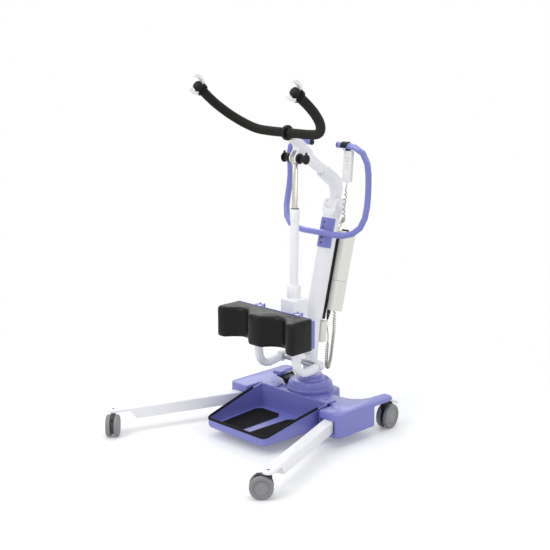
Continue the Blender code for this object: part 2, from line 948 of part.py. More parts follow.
tube = skin(
    [[(x, y, z) for x, y in oval(TUBE_W, TUBE_D, TUBE_R, 4)] for z in (TUBE_LOW, TUBE_TOP)]
    + [
        [(x, y, z) for x, y in oval(POST_W + 2 * GAP, POST_D + 2 * GAP, POST_R + GAP, 4)]
        for z in (TUBE_TOP, TUBE_LOW)
    ],
    wrap=True,
)
add("mast_tube", tube, WHITE, MAST)

lock_high = on_post(*mast_point(0.0, TUBE_D / 2.0, TUBE_LOW).yz)[1] - LOCK_DROP
lock_low = lock_high - LOCK_H
lock_v = POST_D / 2.0 + GAP
lock = prism(
    rounded(
        [
            (LOCK_W / 2.0, lock_v, 0.005),
            (LOCK_W / 2.0, lock_v + LOCK_D, 0.009),
            (-LOCK_W / 2.0, lock_v + LOCK_D, 0.009),
            (-LOCK_W / 2.0, lock_v, 0.005),
        ],
        3,
    ),
    lock_low,
    lock_high,
)
soften(lock, 0.003, 1, lambda e: level(lock_low)(e) or level(lock_high)(e))
add("lock_housing", lock, CREAM, POST)

# mast head: plug, cap and the two ears of the boom pivot
ears_w = KNUCKLE_W + 2 * RUN + 2 * EAR_T
head = prism(oval(POST_W, POST_D, POST_R, 4), TUBE_TOP - PLUG_LAP, TUBE_TOP + 0.004)
head = add("mast_head", head, WHITE, MAST)
cap_outline = oval(TUBE_W + 2 * CAP_LIP, TUBE_D + 2 * CAP_LIP, TUBE_R + CAP_LIP, 3)
cap = prism(cap_outline, TUBE_TOP + GAP, TUBE_TOP + CAP_H)
soften(cap, 0.003, 2, level(TUBE_TOP + CAP_H))
combine(head, cap, "UNION")
ear = arc(PIVOT_V, PIVOT_T, EAR_R, -40.0, 200.0, 11)
ear_low = TUBE_TOP + CAP_H - 0.006
ear += [(-TUBE_D / 2.0 + 0.005, ear_low), (TUBE_D / 2.0 - 0.002, ear_low)]
ears = side_prism(ear, -ears_w / 2.0, ears_w / 2.0)
soften(ears, 0.002, 1, lambda e: all(abs(abs(v.co.x) - ears_w / 2.0) < 1e-5 for v in e.verts))
combine(head, ears, "UNION")
slot_half = KNUCKLE_W / 2.0 + RUN
combine(head, along_x(rod(KNUCKLE_R + 0.0022, -slot_half, slot_half, 18), 0.0, PIVOT_V, PIVOT_T))
low, high = (-slot_half, PIVOT_V - 0.06, PIVOT_T), (slot_half, PIVOT_V + 0.06, PIVOT_T + 0.05)
combine(head, block(low, high))
combine(head, along_x(rod(BOOM_PIN + GAP, -0.06, 0.06, 16), 0.0, PIVOT_V, PIVOT_T))

# boom: everything on it turns about the pivot in the mast head
PIVOT = mast_point(0.0, PIVOT_V, PIVOT_T)
BOOM = frame("boom_axis", PIVOT, parent=ROOT)
reach = ears_w / 2.0 + GAP
pin = lathe(
    [
        (0.0, -reach - PIN_HEAD_H),
        (PIN_HEAD - 0.002, -reach - PIN_HEAD_H),
        (PIN_HEAD, -reach - PIN_HEAD_H + 0.002),
        (PIN_HEAD, -reach),
        (BOOM_PIN, -reach),
        (BOOM_PIN, reach),
        (PIN_HEAD, reach),
        (PIN_HEAD, reach + PIN_HEAD_H - 0.002),
        (PIN_HEAD - 0.002, reach + PIN_HEAD_H),
        (0.0, reach + PIN_HEAD_H),
    ],
    16,
)
add("boom_pin", along_x(pin), SHELL, BOOM)

along = Vector((0.0, -math.cos(BOOM_SLOPE), math.sin(BOOM_SLOPE)))
corner = Vector((0.0, ELBOW_BACK, ELBOW_RISE))
path = [
    Vector((0.0, ELBOW_BACK * 0.25, ELBOW_RISE * 0.15)),
    Vector((0.0, ELBOW_BACK * 0.5, ELBOW_RISE * 0.385)),
    Vector((0.0, ELBOW_BACK * 0.8, ELBOW_RISE * 0.52)),
    Vector((0.0, ELBOW_BACK * 1.0, ELBOW_RISE * 0.74)),
    corner + Vector((0.0, -0.0035, 0.0)) + along * 0.004,
    corner + along * 0.026,
    corner + along * SLEEVE * 0.75,
    corner + along * SLEEVE,
]
sizes = [
    (KNUCKLE_W - 0.002, 0.040),
    (KNUCKLE_W - 0.001, 0.042),
    (0.036, 0.044),
    (0.040, 0.047),
    (0.044, 0.052),
    (SLEEVE_W, SLEEVE_D),
    (SLEEVE_W, SLEEVE_D),
    (SLEEVE_W - 0.003, SLEEVE_D - 0.003),
]
outlines = [oval(w, d, min(w, d) * 0.36, 3) for w, d in sizes]
elbow = add("boom_elbow", skin(sections(path, outlines, (1.0, 0.0, 0.0))), WHITE, BOOM)
combine(elbow, along_x(rod(KNUCKLE_R, -KNUCKLE_W / 2.0, KNUCKLE_W / 2.0, 18)), "UNION")
combine(elbow, along_x(rod(BOOM_PIN + RUN / 2, -0.05, 0.05, 16)))
bore_path = [corner + along * (SLEEVE - BOOM_LAP - GAP), corner + along * (SLEEVE + 0.02)]
boom_bore = oval(BOOM_W + 2 * GAP, BOOM_D + 2 * GAP, BOOM_R + GAP, 3)
combine(elbow, bar(bore_path, boom_bore, (1.0, 0.0, 0.0)))

tube_path = [corner + along * (SLEEVE - BOOM_LAP), corner + along * BOOM_END]
arm = add("boom_arm", bar(tube_path, oval(BOOM_W, BOOM_D, BOOM_R, 3), (1.0, 0.0, 0.0)), WHITE, BOOM)

# boom head: a curved casting with a fork for the rod's eye
EYE = Vector((0.0, -EYE_BACK, EYE_RISE))
HORN = Vector((0.0, -HORN_BACK, HORN_RISE))
facet_low = EYE + Vector((0.0, -0.038, 0.067))
facet_high = EYE + Vector((0.0, -0.022, 0.079))
above_boom = Vector((0.0, math.sin(BOOM_SLOPE), math.cos(BOOM_SLOPE))) * (BOOM_D / 2.0 + 0.004)
under = corner + along * (BOOM_END - 0.062) - above_boom
over = corner + along * (BOOM_END - 0.040) + above_boom
head_outline = [
    (over.y, over.z),
    (EYE.y + 0.024, EYE.z + 0.065),
    (EYE.y - 0.011, EYE.z + 0.074),
    (facet_high.y, facet_high.z),
    (facet_low.y, facet_low.z),
    (EYE.y - 0.017, EYE.z + 0.057),
    (EYE.y, EYE.z + 0.047),
    (EYE.y + 0.001, EYE.z + 0.032),
]
head_outline += arc(EYE.y, EYE.z, 0.0185, 140.0, 350.0, 7)
head_outline += [(EYE.y + 0.0215, EYE.z + 0.008), (under.y, under.z)]
boom_head = side_prism(head_outline, -HEAD_W / 2.0, HEAD_W / 2.0)
soften(boom_head, 0.004, 1, lambda e: all(abs(abs(v.co.x) - HEAD_W / 2.0) < 1e-5 for v in e.verts))
combine(arm, boom_head, "UNION")
fork_half = EYE_W / 2.0 + RUN
low, high = (-fork_half, EYE.y - 0.04, EYE.z - 0.04), (fork_half, EYE.y + 0.0205, EYE.z + 0.028)
combine(arm, block(low, high))
combine(arm, along_x(rod(SPINDLE + GAP, -0.05, 0.05, 14), 0.0, EYE.y, EYE.z))


# one spindle through the fork and the rod's eye, with a bobbin at each end
start = HEAD_W / 2.0 + GAP
waist = start + PEG_THICK
cap_at = waist + PEG_SPAN
end = cap_at + PEG_CAP
half = [
    (SPINDLE, start),
    (PEG_FLANGE, start),
    (PEG_FLANGE, waist - 0.001),
    (PEG_HUB, waist + 0.002),
    (PEG_HUB, cap_at - 0.001),
    (PEG_FLANGE - 0.001, cap_at + 0.001),
    (PEG_FLANGE - 0.001, end - 0.003),
    (PEG_HUB, end),
    (0.0, end),
]
spindle = lathe([(r, -z) for r, z in half[::-1]] + half, 14)
pegs = add("strap_pegs", along_x(spindle, 0.0, EYE.y, EYE.z), BLACK, BOOM, tuple(EYE))


def peg_keeper(side):
    """A tab on top of the outer disc that keeps a sling loop on the peg."""
    x0, x1 = side * (cap_at + 0.0025), side * (end - 0.0035)
    rise = EYE.z + PEG_FLANGE + PEG_KEEPER
    low = (min(x0, x1), EYE.y - 0.005, EYE.z + PEG_FLANGE * 0.7)
    high = (max(x0, x1), EYE.y + 0.005, rise)
    return soften(block(low, high), 0.0015, 1, level(rise))


combine(pegs, mirrored(peg_keeper), "UNION")

# spreader bar, its clamp, grips and sling hooks
facet_way = (facet_high - facet_low).normalized()
facet_out = Vector((0.0, -facet_way.z, facet_way.y))
disc = lathe(
    [
        (0.0, -CLAMP_W / 2.0),
        (CLAMP_R - 0.003, -CLAMP_W / 2.0),
        (CLAMP_R, -CLAMP_W / 2.0 + 0.003),
        (CLAMP_R, CLAMP_W / 2.0 - 0.003),
        (CLAMP_R - 0.003, CLAMP_W / 2.0),
        (0.0, CLAMP_W / 2.0),
    ],
    20,
)
clamp = add("horn_clamp", along_x(disc, 0.0, HORN.y, HORN.z), BLACK, BOOM)
seat = [
    facet_low + facet_out * GAP - facet_way * 0.05,
    facet_low + facet_out * GAP + facet_way * 0.07,
    facet_low - facet_out * 0.05 + facet_way * 0.07,
    facet_low - facet_out * 0.05 - facet_way * 0.05,
]
combine(clamp, side_prism([(p.y, p.z) for p in seat], -0.03, 0.03))
BAR_BORE = (BAR_R + GAP) / math.cos(math.pi / 10.0)
combine(clamp, along_x(rod(BAR_BORE, -0.05, 0.05, 12), 0.0, HORN.y, HORN.z))

horn_up = Vector((0.0, -math.cos(HORN_SLOPE), math.sin(HORN_SLOPE)))


def horn_line(side):
    """Centre line of one horn, from the clamp's middle to its end."""
    swell = HORN_HALF - HORN_FLAT
    plan = [
        (0.0, 0.0),
        (HORN_FLAT * 0.45, 0.0),
        (HORN_FLAT * 0.85, 0.001),
        (HORN_FLAT + swell * 0.25, 0.035 * HORN_LENGTH),
        (HORN_FLAT + swell * 0.58, 0.155 * HORN_LENGTH),
        (HORN_FLAT + swell * 0.83, 0.335 * HORN_LENGTH),
        (HORN_FLAT + swell * 0.97, 0.545 * HORN_LENGTH),
        (HORN_HALF, 0.720 * HORN_LENGTH),
        (HORN_HALF - 0.001, HORN_LENGTH - HORN_STRAIGHT),
    ]
    return [HORN + Vector((side * x, 0.0, 0.0)) + horn_up * u for x, u in plan]


half_line = spaced(smooth(horn_line(1.0), 8), 0.036)
last = (half_line[-1] - half_line[-2]).normalized()
half_line += [half_line[-1] + last * HORN_STRAIGHT * k / 3.0 for k in (1, 2, 3)]
mirror_line = [Vector((-p.x, p.y, p.z)) for p in half_line]
wire("horn_bar", mirror_line[:0:-1] + half_line, BAR_R, STEEL, BOOM, 2)
for word, side in SIDES:
    line = [Vector((side * p.x, p.y, p.z)) for p in half_line]
    last = (line[-1] - line[-2]).normalized()
    inner = CLAMP_W / 2.0 + 0.0006
    way = (line[1] - line[0]).normalized()
    keep = [line[0] + way * inner] + [p for p in line if abs(p.x) > inner + 0.006]
    first = Vector((0.0, horn_up.z, -horn_up.y))
    soft = [keep[0], keep[0].lerp(keep[1], 0.30)] + keep[1:]
    soft += [line[-1] + last * GRIP_END_CAP * 0.2, line[-1] + last * GRIP_END_CAP]
    radii = [GRIP_R - 0.0025] + [GRIP_R] * (len(soft) - 2) + [GRIP_R - 0.0025]
    outer = turned_rings(soft, first, radii, 10)
    hollow = keep[:-1] + [line[-1] + last * GAP]
    inner_rings = turned_rings(hollow, first, [BAR_BORE] * len(hollow), 10)
    add(f"grip_{word}", skin(outer[::-1] + inner_rings), FOAM, BOOM, tuple(keep[0]))

    # the sling hook: a C that opens forward round the grip's end, on a band round the grip
    end = line[-1]
    middle = end + last * HOOK_AHEAD
    ahead = math.degrees(math.atan2(last.z, last.y))
    outer_arc = arc(middle.y, middle.z, HOOK_OUT, ahead - 32.0, ahead - 300.0, 14)
    inner_arc = arc(middle.y, middle.z, HOOK_IN, ahead - 300.0, ahead - 32.0, 11)
    shape = side_prism(outer_arc + inner_arc, end.x - HOOK_T / 2.0, end.x + HOOK_T / 2.0)
    hook = add(f"sling_hook_{word}", shape, WHITE, BOOM, tuple(end))
    band = rod(GRIP_R + HOOK_BAND, HOOK_AHEAD - HOOK_OUT, HOOK_AHEAD - HOOK_IN, 18)
    aim = Matrix.Translation(end) @ last.to_track_quat("Z", "Y").to_matrix().to_4x4()
    combine(hook, place(band, aim), "UNION")
    combine(hook, place(rod((GRIP_R + GAP) / math.cos(math.pi / 18.0), -0.06, 0.001, 18), aim))

# actuator: bracket on the post, motor, barrel and rod
ACT = frame("actuator_axis", (0.0, ACT_Y, ACT_Z), (-ACT_LEAN, 0.0, 0.0), ROOT)
act_v, act_t = on_post(ACT_Y, ACT_Z)
cheek_in = ACT_EYE_W / 2.0 + RUN / 2
cheek_out = cheek_in + ACT_CHEEK
face_v = -POST_D / 2.0 - GAP
cheek = arc(act_v, act_t, ACT_EYE, 90.0, 270.0, 8)
cheek = cheek + [(face_v - 0.004, act_t - 0.030), (face_v, act_t - 0.030)]
cheek = cheek + [(face_v, act_t + 0.013), (face_v - 0.004, act_t + 0.013)]
stand_piece = add("actuator_bracket", side_prism(cheek, -cheek_out, cheek_out), WHITE, POST)
combine(
    stand_piece,
    block((-cheek_in, act_v - 0.03, act_t - 0.05), (cheek_in, face_v - 0.005, act_t + 0.05)),
)
cross = lathe(
    [
        (0.0, -cheek_out - 0.003),
        (ACT_PIN + 0.003, -cheek_out - 0.003),
        (ACT_PIN + 0.003, -cheek_out + 0.001),
        (ACT_PIN, -cheek_out + 0.001),
        (ACT_PIN, cheek_out - 0.001),
        (ACT_PIN + 0.003, cheek_out - 0.001),
        (ACT_PIN + 0.003, cheek_out + 0.003),
        (0.0, cheek_out + 0.003),
    ],
    14,
)
combine(stand_piece, along_x(cross, 0.0, act_v, act_t), "UNION")

motor = prism(
    rounded(
        [
            (MOTOR_W / 2.0, -MOTOR_FRONT, 0.009),
            (MOTOR_W / 2.0, MOTOR_BACK, 0.009),
            (-MOTOR_W / 2.0, MOTOR_BACK, 0.009),
            (-MOTOR_W / 2.0, -MOTOR_FRONT, 0.009),
        ],
        3,
    ),
    MOTOR_LOW,
    MOTOR_TOP,
)
soften(motor, 0.005, 2, lambda e: level(MOTOR_LOW)(e) or level(MOTOR_TOP)(e))
motor = add("actuator_motor", motor, WHITE, ACT)
lug = side_prism(
    arc(0.0, 0.0, ACT_EYE, 180.0, 360.0, 8)
    + [(ACT_EYE, MOTOR_LOW + 0.006), (-ACT_EYE, MOTOR_LOW + 0.006)],
    -ACT_EYE_W / 2.0,
    ACT_EYE_W / 2.0,
)
combine(motor, lug, "UNION")
neck_ring = lathe(
    [
        (0.0, MOTOR_TOP - 0.010),
        (COLLAR_R, MOTOR_TOP - 0.010),
        (COLLAR_R, MOTOR_TOP + COLLAR_H - 0.008),
        (COLLAR_R - 0.004, MOTOR_TOP + COLLAR_H),
        (0.0, MOTOR_TOP + COLLAR_H),
    ],
    20,
)
combine(motor, neck_ring, "UNION")
combine(motor, along_x(rod(ACT_PIN + GAP, -0.04, 0.04, 14)))
combine(motor, rod(BARREL_R + GAP, MOTOR_TOP + 0.012, MOTOR_TOP + COLLAR_H + 0.02, 20))

barrel_low = MOTOR_TOP + 0.012 + GAP
barrel = lathe(
    [
        (0.0, barrel_low),
        (BARREL_R, barrel_low),
        (BARREL_R, BARREL_TOP),
        (NECK_R, BARREL_TOP + 0.001),
        (NECK_R, NECK_TOP - 0.003),
        (NECK_R - 0.0012, NECK_TOP),
        (BORE, NECK_TOP),
        (BORE, BORE_LOW),
        (0.0, BORE_LOW),
    ],
    20,
)
add("actuator_tube", barrel, WHITE, ACT)

ROD = frame("rod_axis", EYE, (-ACT_LEAN, 0.0, 0.0), BOOM)
rise = PIVOT + EYE - Vector((0.0, ACT_Y, ACT_Z))
length = rise.y * math.sin(ACT_LEAN) + rise.z * math.cos(ACT_LEAN) - ROD_LOW
shaft = lathe(
    [
        (0.0, -length),
        (ROD_R - 0.001, -length),
        (ROD_R, -length + 0.001),
        (ROD_R, -EYE_R - 0.008),
        (ROD_R - 0.002, -EYE_R - 0.005),
        (0.0, -EYE_R - 0.005),
    ],
    20,
)
shaft = add("actuator_rod", shaft, CHROME, ROD)
eye = arc(0.0, 0.0, EYE_R, 0.0, 180.0, 10)
eye += [(-ROD_R + 0.001, -EYE_R - 0.010), (ROD_R - 0.001, -EYE_R - 0.010)]
combine(shaft, side_prism(eye, -EYE_W / 2.0, EYE_W / 2.0), "UNION")
combine(shaft, along_x(rod(SPINDLE + GAP, -0.04, 0.04, 14)))

# push handle on its channel bracket
bw = TUBE_W / 2.0 + GAP + BRACKET_WALL
bf = -TUBE_D / 2.0 - GAP - BRACKET_WALL
bb = bf + BRACKET_DEEP
iw = TUBE_W / 2.0 + GAP
# its front corners are cut off along the mast's round corners
slant = 2.0 - math.sqrt(2.0)
near = slant * (TUBE_R + GAP)
far = slant * (TUBE_R + GAP + BRACKET_WALL)
channel = rounded(
    [
        (bw, bb, 0.0),
        (iw, bb, 0.0),
        (iw, bf + BRACKET_WALL + near, 0.001),
        (iw - near, bf + BRACKET_WALL, 0.001),
        (near - iw, bf + BRACKET_WALL, 0.001),
        (-iw, bf + BRACKET_WALL + near, 0.001),
        (-iw, bb, 0.0),
        (-bw, bb, 0.0),
        (-bw, bf + far, 0.003),
        (far - bw, bf, 0.003),
        (bw - far, bf, 0.003),
        (bw, bf + far, 0.003),
    ],
    2,
)
low_t = HANDLE_T + BRACKET_UP - BRACKET_H / 2.0
bracket = add("handle_bracket", prism(channel, low_t, low_t + BRACKET_H), BLUE, MAST)


hub = mast_point(0.0, bf - GAP - HANDLE_R, HANDLE_T)
loop = [
    (0.23, 0.0, 0.0),
    (0.45, 0.0, 0.0),
    (0.70, 0.0, 0.025),
    (0.88, 0.20, 0.083),
    (0.975, 0.44, 0.177),
    (1.0, 0.69, 0.306),
    (0.995, 0.88, 0.428),
    (0.985, 0.976, 0.550),
    (0.982, 1.0, 0.667),
    (0.985, 0.90, 0.765),
    (0.965, 0.78, 0.856),
    (0.90, 0.66, 0.930),
    (0.79, 0.59, 0.976),
    (0.63, 0.54, 0.997),
    (0.48, 0.517, 1.0),
]
loop = [(x * HANDLE_HALF, y * HANDLE_BACK, z * HANDLE_RISE) for x, y, z in loop]
loop.append((HANDLE_END, loop[-1][1], HANDLE_RISE))
half = [hub + Vector(p) for p in loop]
other = [Vector((-p.x, p.y, p.z)) for p in half]
full = spaced(smooth(other[::-1] + [hub] + half, 6), 0.040)
wire("push_handle", full, HANDLE_R, BLUE, ROOT, 2)
GRIP_END = half[-1]


def handle_plug(side):
    """A flush plug with a rounded edge on the end of the loop."""
    at = HANDLE_END - GAP
    shape = lathe(
        [
            (0.0, 0.0),
            (HANDLE_R - 0.0003, 0.0),
            (HANDLE_R - 0.0003, HANDLE_PLUG - 0.002),
            (HANDLE_R - 0.0025, HANDLE_PLUG),
            (0.0, HANDLE_PLUG),
        ],
        16,
    )
    aim = Matrix.Rotation(-side * math.pi / 2, 4, "Y")
    return place(shape, Matrix.Translation((side * at, GRIP_END.y, GRIP_END.z)) @ aim)


for word, side in SIDES:
    at = (side * HANDLE_END, GRIP_END.y, GRIP_END.z)
    add(f"handle_plug_{word}", handle_plug(side), BLACK, ROOT, at)

# control unit
rail_v = TUBE_D / 2.0 + GAP
unit_v = rail_v + RAIL_D + GAP
rail = prism(oval(RAIL_W, RAIL_D, 0.002, 1), RAIL_LOW, RAIL_TOP)
add("unit_rail", place(rail, Matrix.Translation((0.0, rail_v + RAIL_D / 2.0, 0.0))), BLACK, MAST)


def unit_body(low, high):
    """A housing with round back corners and a shallow side groove."""
    w = UNIT_W / 2.0
    shape = prism(
        rounded(
            [
                (w, unit_v, 0.005),
                (w, unit_v + UNIT_D, UNIT_R),
                (-w, unit_v + UNIT_D, UNIT_R),
                (-w, unit_v, 0.005),
            ],
            3,
        ),
        low,
        high,
    )
    soften(shape, 0.003, 1, level(high))
    soften(shape, 0.002, 1, level(low))
    return shape


box = add("control_box", unit_body(UNIT_LOW, UNIT_SPLIT - GAP), CREAM, MAST)
pack = add("battery_pack", unit_body(UNIT_SPLIT, UNIT_TOP), CREAM, MAST)
grip_cut = prism(oval(0.060, 0.016, 0.007, 3), 0.0, 0.030)
at = (0.0, unit_v + UNIT_D + 0.004, UNIT_TOP - 0.050)
combine(pack, place(grip_cut, Matrix.Translation(at)))
latch = prism(oval(LATCH_W, LATCH_D, 0.003, 2), UNIT_TOP + GAP, UNIT_TOP + LATCH_H)
soften(latch, 0.002, 1, level(UNIT_TOP + LATCH_H))
add("battery_latch", place(latch, Matrix.Translation((0.0, unit_v + UNIT_D * 0.72, 0.0))), BLACK, MAST)

stop_face = unit_v + UNIT_D
stop = frame("stop_axis", (STOP_X, stop_face, STOP_T), (-math.pi / 2, 0.0, 0.0), MAST)
knob = lathe(
    [
        (0.0, -0.005),
        (0.006, -0.005),
        (0.006, 0.006),
        (STOP_R, 0.008),
        (STOP_R, 0.012),
        (STOP_R - 0.005, 0.015),
        (0.0, 0.016),
    ],
    18,
)
add("stop_button", knob, RED, stop)
socket = lathe([(0.0, -0.0095), (0.006 + RUN / 2, -0.0095), (0.006 + RUN / 2, 0.02), (0.0, 0.02)], 14)
at = Matrix.Translation((STOP_X, stop_face, STOP_T))
combine(box, place(socket, at @ Matrix.Rotation(-math.pi / 2, 4, "X")))

# handset hung on the handle's right end; its frame sits in the middle of the tube
SET = frame("handset_frame", (SET_X, GRIP_END.y, GRIP_END.z), (-SET_LEAN, 0.0, 0.0), ROOT)
body = prism(oval(SET_W, SET_D, 0.006, 3), -SET_DROP - SET_H, -SET_DROP)
soften(body, 0.004, 2, lambda e: level(-SET_DROP)(e) or level(-SET_DROP - SET_H)(e))
place(body, Matrix.Translation((0.0, SET_D / 2.0 - SET_FRONT, 0.0)))
handset = add("handset", body, SHELL, SET)
key_room = BUTTON / 2.0 + RUN / 2.0
key_back = 0.003 - SET_FRONT
key_floor = key_back + BUTTON_TRAVEL + GAP
for word, drop in (("up", 0.032), ("down", 0.056)):
    z = -SET_DROP - drop
    well = block((-key_room, -SET_FRONT - 0.01, z - key_room), (key_room, key_floor, z + key_room))
    combine(handset, well)
    key = place(
        prism(oval(BUTTON, BUTTON, 0.003, 2), 0.0, 0.0042),
        Matrix.Translation((0.0, key_back - GAP, z)) @ Matrix.Rotation(math.pi / 2, 4, "X"),
    )
    add(f"button_{word}", key, DARK, SET, (0.0, key_back - GAP, z))

# the hook stands on the handset, goes up behind the tube, over it and down in front
hook_in = HANDLE_R + GAP + STRAP_SAG
hook_out = hook_in + STRAP_WALL
foot = GAP - SET_DROP
strip = [(-hook_out, -STRAP_SAG - 0.0065)] + arc(0.0, -STRAP_SAG, hook_out, 180.0, 0.0, 12)
strip += [(hook_out, foot), (-0.0015, foot)]
strip += [(-0.0015, foot + STRAP_PLATE), (hook_in, foot + STRAP_PLATE)]
strip += arc(0.0, -STRAP_SAG, hook_in, 0.0, 180.0, 10) + [(-hook_in, -STRAP_SAG - 0.0065)]
strap_left = -HOOK_ASIDE - HOOK_STRAP / 2.0
add("handset_hook", side_prism(strip, strap_left, strap_left + HOOK_STRAP), BLACK, SET)

# knee rest
arm_front = ARM_Y - ARM_D / 2.0
plate_back = arm_front - GAP - CLAMP_WALL * 0.4
plate_front = plate_back - KNEE_PLATE
KNEE = frame("knee_slide", (0.0, ARM_Y, KNEE_LOW), parent=ROOT)
knee_mid = (KNEE_LOW + KNEE_HIGH) / 2.0
board = prism(oval(2 * KNEE_HALF, KNEE_HIGH - KNEE_LOW, 0.010, 3), 0.0, KNEE_PLATE)
at = Matrix.Translation((0.0, plate_back - ARM_Y, knee_mid - KNEE_LOW))
board = place(board, at @ Matrix.Rotation(math.pi / 2, 4, "X"))
knee_plate = add("knee_plate", board, BLUE, KNEE)


def cushion_rings():
    """Sections across X: three lobes with a hollow for each knee, ends drawn in."""
    rings = []
    count = 30
    back = plate_front - GAP - ARM_Y
    for i in range(count + 1):
        k = -math.cos(math.pi * i / count)
        k = k * 0.55 + 0.45 * (2.0 * i / count - 1.0)
        x = CUSHION_HALF * k
        ends = max(0.0, (abs(x) - (CUSHION_HALF - 0.014)) / 0.014)
        draw = 1.0 - math.sqrt(max(0.0, 1.0 - min(1.0, ends) ** 2))
        hollow = 0.0
        off = abs(abs(x) - RECESS_X)
        if off < RECESS_HALF:
            hollow = RECESS * (0.5 + 0.5 * math.cos(math.pi * off / RECESS_HALF)) ** 0.8
        deep = (CUSHION_DEEP - hollow) * (1.0 - 0.16 * draw)
        tall = (KNEE_HIGH - KNEE_LOW) - 0.002 - 0.020 * draw
        nose = min(0.020, deep * 0.4)
        mid = (KNEE_HIGH - KNEE_LOW) / 2.0
        lo, hi = mid - tall / 2.0, mid + tall / 2.0
        crown = 0.003
        front = back - deep
        ring = [(back, lo + 0.003), (back - 0.004, lo)]
        ring += [(back - deep * 0.45, lo - crown * 0.5), (front + nose, lo)]
        ring += [(front + nose * 0.3, lo + nose * 0.3), (front, lo + nose)]
        ring += [(front - crown, mid - 0.015), (front - crown, mid + 0.015)]
        ring += [(front, hi - nose), (front + nose * 0.3, hi - nose * 0.3), (front + nose, hi)]
        ring += [(back - deep * 0.45, hi + crown * 0.5), (back - 0.004, hi), (back, hi - 0.003)]
        rings.append([(x, y, z) for y, z in ring])
    return rings


add("knee_cushion", skin(cushion_rings()), FOAM, KNEE, sharp=60.0)

arm_outline = oval(ARM_W, ARM_D, ARM_R, 2)


def arm_path(side):
    """From the top, down, round the bend and back to the lug."""
    x = side * ARM_X
    points = [Vector((x, ARM_Y, ARM_TOP)), Vector((x, ARM_Y, ARM_LOW_Z + ARM_BEND + 0.015))]
    bend = arc(ARM_Y + ARM_BEND, ARM_LOW_Z + ARM_BEND, ARM_BEND, 180.0, 270.0, 5)
    points += [Vector((x, y, z)) for y, z in bend]
    last_z = ARM_LOW_Z + (KNEE_BOLT_Z - ARM_LOW_Z) * 0.7
    points.append(Vector((x, KNEE_BOLT_Y - LUG_R * 0.62, last_z)))
    return points


def arm_lug(side):
    """The round end of one arm that sits on the bolt."""
    low = side * ARM_X - ARM_W / 2.0 + 0.003
    high = side * ARM_X + ARM_W / 2.0 - 0.003
    profile = [
        (0.0, low),
        (LUG_R - 0.003, low),
        (LUG_R, low + 0.003),
        (LUG_R, high - 0.003),
        (LUG_R - 0.003, high),
        (0.0, high),
    ]
    return along_x(lathe(profile, 16), 0.0, KNEE_BOLT_Y, KNEE_BOLT_Z)


for word, side in SIDES:
    arm = add(f"knee_arm_{word}", bar(arm_path(side), arm_outline, (1.0, 0.0, 0.0)), WHITE, ROOT)
    combine(arm, arm_lug(side), "UNION")
    combine(arm, along_x(rod(KNEE_BOLT + GAP, -0.15, 0.15, 14), 0.0, KNEE_BOLT_Y, KNEE_BOLT_Z))

lug_in = ARM_X - ARM_W / 2.0 + 0.003 - GAP
lug_out = ARM_X + ARM_W / 2.0 - 0.003 + GAP
post_out = KNEE_BOSS_W / 2.0 + GAP
bolt_half = [
    (0.0, lug_out + 0.004),
    (0.008, lug_out + 0.004),
    (0.0095, lug_out + 0.0025),
    (0.0095, lug_out),
    (KNEE_BOLT, lug_out),
    (KNEE_BOLT, lug_in),
    (0.0105, lug_in),
    (0.0105, post_out),
    (KNEE_BOLT, post_out),
]
bolt = lathe([(r, -z) for r, z in bolt_half] + bolt_half[::-1], 10)
add("knee_bolt", along_x(bolt, 0.0, KNEE_BOLT_Y, KNEE_BOLT_Z), BLACK, ROOT)


def knee_clamp(side):
    """A sleeve that holds the plate to one arm and slides along it."""
    high = KNEE_HIGH - CLAMP_BELOW - KNEE_LOW
    low = high - KNEE_CLAMP_H
    wall = GAP + CLAMP_WALL
    outer = oval(ARM_W + 2 * wall, ARM_D + 2 * wall, ARM_R + wall, 2)
    inner = oval(ARM_W + 2 * GAP, ARM_D + 2 * GAP, ARM_R + GAP, 2)
    rings = [[(x, y, z) for x, y in outer] for z in (low, high)]
    rings += [[(x, y, z) for x, y in inner] for z in (high, low)]
    return place(skin(rings, wrap=True), Matrix.Translation((side * ARM_X, 0.0, 0.0)))


for word, side in SIDES:
    combine(knee_plate, knee_clamp(side), "UNION")


# foot tray: a shell whose walls fall to a low lip in front
def rim_height(y):
    """Height of the tray's wall at y."""
    k = (y - TRAY_FRONT) / (TRAY_REAR - TRAY_FRONT)
    k = max(0.0, min(1.0, k))
    return LIP + (RIM_REAR - LIP) * (0.82 * k + 0.18 * math.sin(math.pi * k / 2.0))


def tray_line(inset, steps=3):
    """The tray's outline, drawn in by inset, with points along the sides for the slope of the rim."""
    f, r = TRAY_FRONT_HALF - inset, TRAY_REAR_HALF - inset
    front, rear = TRAY_FRONT + inset, TRAY_REAR - inset
    corner = 0.020 - inset * 0.6
    spans = 6
    sides = []
    for k in range(1, spans):
        y = front + (rear - front) * k / spans
        sides.append((f + (r - f) * k / spans, y, 0.0))
    corners = [(f, front, corner)] + sides + [(r, rear, 0.006)]
    corners += [(-r, rear, 0.006)] + [(-x, y, 0.0) for x, y, z in sides[::-1]]
    corners.append((-f, front, corner))
    return rounded(corners, steps)


outer = tray_line(0.0)
inner = tray_line(TRAY_WALL)
belly = [(x * 0.97, y) for x, y in tray_line(0.002)]
rings = [
    [(x, y, TRAY_LOW) for x, y in belly],
    [(x, y, TRAY_LOW + 0.008) for x, y in outer],
    [(x, y, rim_height(y)) for x, y in outer],
    [(x, y, rim_height(y)) for x, y in inner],
    [(x, y, TRAY_LOW + TRAY_FLOOR) for x, y in inner],
]
tray = add("foot_tray", skin(rings), BLUE, ROOT, (0.0, TRAY_REAR, CHASSIS_TOP))


